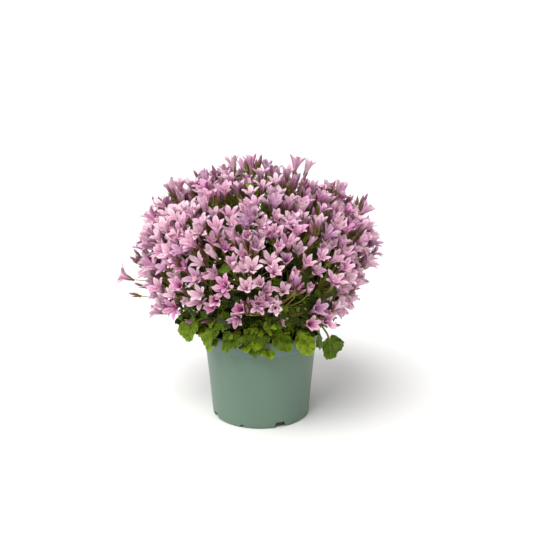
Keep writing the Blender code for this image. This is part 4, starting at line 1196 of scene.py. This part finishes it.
def petalMaterial():
    # Thin petals: silky and matt, pale pink at the edges, with rosier veins that run into a deep throat
    material, tree, shader = newMaterial("petalTissue", 0.55, ior=1.4, specular=0.35)
    surface = addNode(tree, "UVMap", {"uv_map": "surfaceMap"})[0]
    across, along, _ = addNode(tree, "SeparateXYZ", None, (surface,))
    tone = addNode(tree, "Attribute", {"attribute_name": "tone"})["Fac"]
    outside = addNode(tree, "Attribute", {"attribute_name": "outside"})["Fac"]
    inner = addNode(tree, "ValToRGB", {"stops": (
        (0.0, "7A5A44"), (0.3, "925674"), (0.45, "D08CB0"), (0.6, "EAACCC"), (0.82, "F5C4DA"),
        (1.0, "F9DCE0"))}, (along,))[0]
    outer = addNode(tree, "ValToRGB", {"stops": (
        (0.0, "96607A"), (0.3, "D298BC"), (0.55, "EAB2D2"), (0.8, "F5C6DE"), (1.0, "F9DAE6"))}, (along,))[0]
    outerShare = addNode(tree, "Math", {"operation": "MINIMUM"}, (outside, 1.0))[0]
    # Veins run up the petal, closest together by the rib in its middle, and leave its edges pale
    stretch = addNode(tree, "Mapping", None, {"Vector": surface, "Scale": (9, 1.5, 1)})[0]
    bloomOffset = addNode(tree, "Math", {"operation": "MULTIPLY"}, (tone, 40.0))[0]
    veins = addNode(tree, "TexNoise", {"noise_dimensions": "4D"},
                    {"Vector": stretch, "W": bloomOffset, "Scale": 1.0, "Detail": 3.0})[0]
    veinShare = addNode(tree, "MapRange", None, (veins, 0.47, 0.62, 0.0, 0.6))[0]
    rib = addNode(tree, "ValToRGB", {"stops": (
        (0.0, "000000"), (0.2, "3A3A3A"), (0.44, "8A8A8A"), (0.5, "FFFFFF"), (0.56, "8A8A8A"),
        (0.8, "3A3A3A"), (1.0, "000000"))}, (across,))[0]
    ribShare = addNode(tree, "Math", {"operation": "MULTIPLY"}, (rib, 0.7))[0]
    lines = addNode(tree, "Math", {"operation": "MAXIMUM"}, (ribShare, veinShare))[0]
    tipFade = addNode(tree, "MapRange", None, (along, 0.7, 1.0, 1.0, 0.35))[0]
    lineShare = addNode(tree, "Math", {"operation": "MULTIPLY"}, (lines, tipFade))[0]
    margin = addNode(tree, "ValToRGB", {"stops": (
        (0.0, "FFFFFF"), (0.1, "B0B0B0"), (0.28, "000000"), (0.72, "000000"), (0.9, "B0B0B0"),
        (1.0, "FFFFFF"))}, (across,))[0]
    marginRise = addNode(tree, "MapRange", None, (along, 0.45, 0.7, 0.0, 0.6))[0]
    marginShare = addNode(tree, "Math", {"operation": "MULTIPLY"}, (margin, marginRise))[0]
    # No two petals are quite alike: soft mauve shadings some 5 mm across
    place = addNode(tree, "TexCoord")["Object"]
    shading = addNode(tree, "TexNoise", None, {"Vector": place, "Scale": 190.0, "Detail": 3.0})[0]
    shadeShare = addNode(tree, "MapRange", None, (shading, 0.48, 0.68, 0.0, 0.45))[0]
    # Older blooms pale, the freshest are a strong pink, and a few between go mauve
    tint = addNode(tree, "ValToRGB", {"stops": (
        (0.0, "F6D9E0"), (0.36, "F6D9E0"), (0.4, "8C6A9C"), (0.72, "8C6A9C"), (0.76, "B9489A"),
        (1.0, "B9489A"))}, (tone,))[0]
    tintShare = addNode(tree, "ValToRGB", {"stops": (
        (0.0, "BCBCBC"), (0.12, "BCBCBC"), (0.3, "000000"), (0.5, "000000"), (0.54, "A0A0A0"),
        (0.6, "A0A0A0"), (0.64, "000000"), (0.84, "000000"), (0.95, "A8A8A8"), (1.0, "A8A8A8"))}, (tone,))[0]
    # Buds are darker, and olive at the foot
    budShare = addNode(tree, "MapRange", None, (outside, 1.0, 2.0, 0.0, 0.9))[0]
    bud = addNode(tree, "ValToRGB", {"stops": (
        (0.0, "6A5A34"), (0.35, "7A5050"), (0.75, "96587A"), (1.0, "B07A90"))}, (along,))[0]
    base = inner
    for share, colour in ((outerShare, outer), (lineShare, hexColour("9C5078")),
                          (marginShare, hexColour("FBDAE4")), (shadeShare, hexColour("B4709E")),
                          (tintShare, tint), (budShare, bud)):
        base = addNode(tree, "Mix", {"data_type": "RGBA"}, {0: share, 6: base, 7: colour})[2]
    tree.links.new(base, shader.inputs["Base Color"])
    normal = addNode(tree, "Bump", {"invert": True},
                     {"Strength": 0.5, "Distance": 0.4 * mm, "Height": lineShare})[0]
    tree.links.new(normal, shader.inputs["Normal"])
    shader.inputs["Subsurface Weight"].default_value = 0.3
    shader.inputs["Subsurface Radius"].default_value = (1.0, 0.55, 0.7)
    shader.inputs["Subsurface Scale"].default_value = 0.8 * mm
    return material


def leafMaterial():
    # Living leaf: semi-matt wax over a yellow-green blade, with paler veins that fan out, and a paler edge
    # that is a painted rim highlight
    material, tree, shader = newMaterial("waxyLeaf", 0.5, ior=1.42, specular=0.2)
    surface = addNode(tree, "UVMap", {"uv_map": "surfaceMap"})[0]
    across, along, _ = addNode(tree, "SeparateXYZ", None, (surface,))
    tone = addNode(tree, "Attribute", {"attribute_name": "tone"})["Fac"]
    place = addNode(tree, "TexCoord")["Object"]
    # The tone paints shade too: deep fill leaves and inner low leaves carry low tones, and the ramp's
    # near-black end is their painted shade
    base = addNode(tree, "ValToRGB", {"stops": (
        (0.0, "070A00"), (0.3, "243400"), (0.6, "587802"), (1.0, "A9C414"))}, (tone,))[0]
    # Darker blotches some 5 mm across
    blotch = addNode(tree, "TexNoise", None, {"Vector": place, "Scale": 210.0, "Detail": 4.0})[0]
    blotchShare = addNode(tree, "MapRange", None, (blotch, 0.44, 0.62, 0.0, 0.6))[0]
    # Nine main veins across the fan, and a fine net of about 3 mm between them
    fan = addNode(tree, "Math", {"operation": "MULTIPLY"}, (across, 9.0))[0]
    fold = addNode(tree, "Math", {"operation": "PINGPONG"}, (fan, 0.5))[0]
    wide = addNode(tree, "Math", {"operation": "MULTIPLY_ADD"}, (along, 9.0, 2.0))[0]
    vein = addNode(tree, "Math", {"operation": "MULTIPLY"}, (fold, wide))[0]
    veinShare = addNode(tree, "MapRange", None, (vein, 0.0, 1.0, 1.0, 0.0))[0]
    net = addNode(tree, "TexVoronoi", {"feature": "DISTANCE_TO_EDGE"}, {"Vector": place, "Scale": 380.0})[0]
    netShare = addNode(tree, "MapRange", None, (net, 0.0, 0.15, 0.3, 0.0))[0]
    lines = addNode(tree, "Math", {"operation": "MAXIMUM"}, (veinShare, netShare))[0]
    # Painted rim highlight: the blade lightens towards its outer edge, mixed in with the real paler veins
    edge = addNode(tree, "MapRange", None, (along, 0.86, 1.0, 0.0, 0.9))[0]
    pale = addNode(tree, "Math", {"operation": "MAXIMUM"}, (lines, edge))[0]
    fresh = addNode(tree, "Math", {"operation": "MULTIPLY"}, (tone, 0.36))[0]
    veinAndRimLightShare = addNode(tree, "Math", {"operation": "MULTIPLY"}, (pale, fresh))[0]
    # Short pale hairs stand all over it, drawn as grains of about 1 mm, which is as fine as shows
    hairs = addNode(tree, "TexNoise", None, {"Vector": place, "Scale": 850.0, "Detail": 3.0})[0]
    hairRise = addNode(tree, "MapRange", None, (hairs, 0.52, 0.72, 0.0, 0.5))[0]
    hairShare = addNode(tree, "Math", {"operation": "MULTIPLY"}, (hairRise, tone))[0]
    for share, colour in ((blotchShare, "223800"), (veinAndRimLightShare, "B3C64A"), (hairShare, "B9C85C")):
        base = addNode(tree, "Mix", {"data_type": "RGBA"}, {0: share, 6: base, 7: hexColour(colour)})[2]
    tree.links.new(base, shader.inputs["Base Color"])
    normal = addNode(tree, "Bump", {"invert": True},
                     {"Strength": 0.7, "Distance": 0.7 * mm, "Height": lines})[0]
    tree.links.new(normal, shader.inputs["Normal"])
    return material


def stemMaterial():
    # Soft herbaceous stem, green that turns brownish maroon where the tone is low
    material, tree, shader = newMaterial("youngStem", 0.55, ior=1.42, specular=0.35)
    tone = addNode(tree, "Attribute", {"attribute_name": "tone"})["Fac"]
    # Low leaves' stalks carry their leaf's tone, painted shade included, so the inner ones go darker and
    # browner
    green = addNode(tree, "ValToRGB", {"stops": (
        (0.0, "7A5438"), (0.3, "7E702E"), (0.7, "8C9A34"), (1.0, "A6B654"))}, (tone,))[0]
    place = addNode(tree, "TexCoord")["Object"]
    blotch = addNode(tree, "TexNoise", None, {"Vector": place, "Scale": 150.0, "Detail": 2.0})[0]
    share = addNode(tree, "Math", {"operation": "MULTIPLY"}, (blotch, 0.35))[0]
    base = addNode(tree, "Mix", {"data_type": "RGBA"}, {0: share, 6: green, 7: hexColour("5A3E2C")})[2]
    tree.links.new(base, shader.inputs["Base Color"])
    return material


def styleMaterial():
    # The pistil is pale cream and slightly waxy
    material, tree, shader = newMaterial("palePistil", 0.5, ior=1.4, specular=0.3)
    place = addNode(tree, "TexCoord")["Object"]
    blotch = addNode(tree, "TexNoise", None, {"Vector": place, "Scale": 400.0})[0]
    base = addNode(tree, "Mix", {"data_type": "RGBA"},
                   {0: blotch, 6: hexColour("EBDCC4"), 7: hexColour("D9C3B4")})[2]
    tree.links.new(base, shader.inputs["Base Color"])
    return material


def potMaterial():
    # Injection-moulded polypropylene: even grey-green with a soft sheen, faint flow marks and fine grain
    material, tree, shader = newMaterial("mouldedPolypropylene", 0.42, ior=1.49, specular=0.45)
    place = addNode(tree, "TexCoord")["Object"]
    flow = addNode(tree, "Mapping", None, {"Vector": place, "Scale": (22, 22, 5)})[0]
    marks = addNode(tree, "TexNoise", None, {"Vector": flow, "Scale": 1.0, "Detail": 3.0})[0]
    base = addNode(tree, "Mix", {"data_type": "RGBA"},
                   {0: marks, 6: hexColour("5A7161"), 7: hexColour("637C6B")})[2]
    # The rim band reads slightly bluer, from its step at 80 mm up
    _, _, height = addNode(tree, "SeparateXYZ", None, (place,))
    band = addNode(tree, "MapRange", None, (height, 79.8 * mm, 80.6 * mm, 0.0, 0.5))[0]
    base = addNode(tree, "Mix", {"data_type": "RGBA"}, {0: band, 6: base, 7: hexColour("5F747A")})[2]
    tree.links.new(base, shader.inputs["Base Color"])
    grain = addNode(tree, "TexNoise", None, {"Vector": place, "Scale": 1600.0, "Detail": 2.0})[0]
    normal = addNode(tree, "Bump", None, {"Strength": 0.12, "Distance": 0.2 * mm, "Height": grain})[0]
    tree.links.new(normal, shader.inputs["Normal"])
    return material


def soilMaterial():
    # Damp peat compost: nearly black brown with paler fibres
    material, tree, shader = newMaterial("peatCompost", 0.95, specular=0.15)
    place = addNode(tree, "TexCoord")["Object"]
    grains = addNode(tree, "TexNoise", None, {"Vector": place, "Scale": 600.0, "Detail": 4.0})[0]
    base = addNode(tree, "ValToRGB", {"stops": (
        (0.3, "150E09"), (0.55, "2B1E14"), (0.75, "4A3524"))}, (grains,))[0]
    tree.links.new(base, shader.inputs["Base Color"])
    normal = addNode(tree, "Bump", None, {"Strength": 0.9, "Distance": mm, "Height": grains})[0]
    tree.links.new(normal, shader.inputs["Normal"])
    return material


setCamera()
setLights()
makeFloor()
materials = {"petal": petalMaterial(), "style": styleMaterial(), "leaf": leafMaterial(),
             "stem": stemMaterial()}
makePot(potMaterial())
makeSoil(soilMaterial())
makeRimLeaves(materials["leaf"], materials["stem"])
makeSkirt(materials["leaf"], materials["stem"])
makeSprays(materials)

triangles = sum(len(p.vertices) - 2 for o in scene.objects if o.type == "MESH" and not o.hide_render
                for p in o.data.polygons)
print("triangles:", triangles)
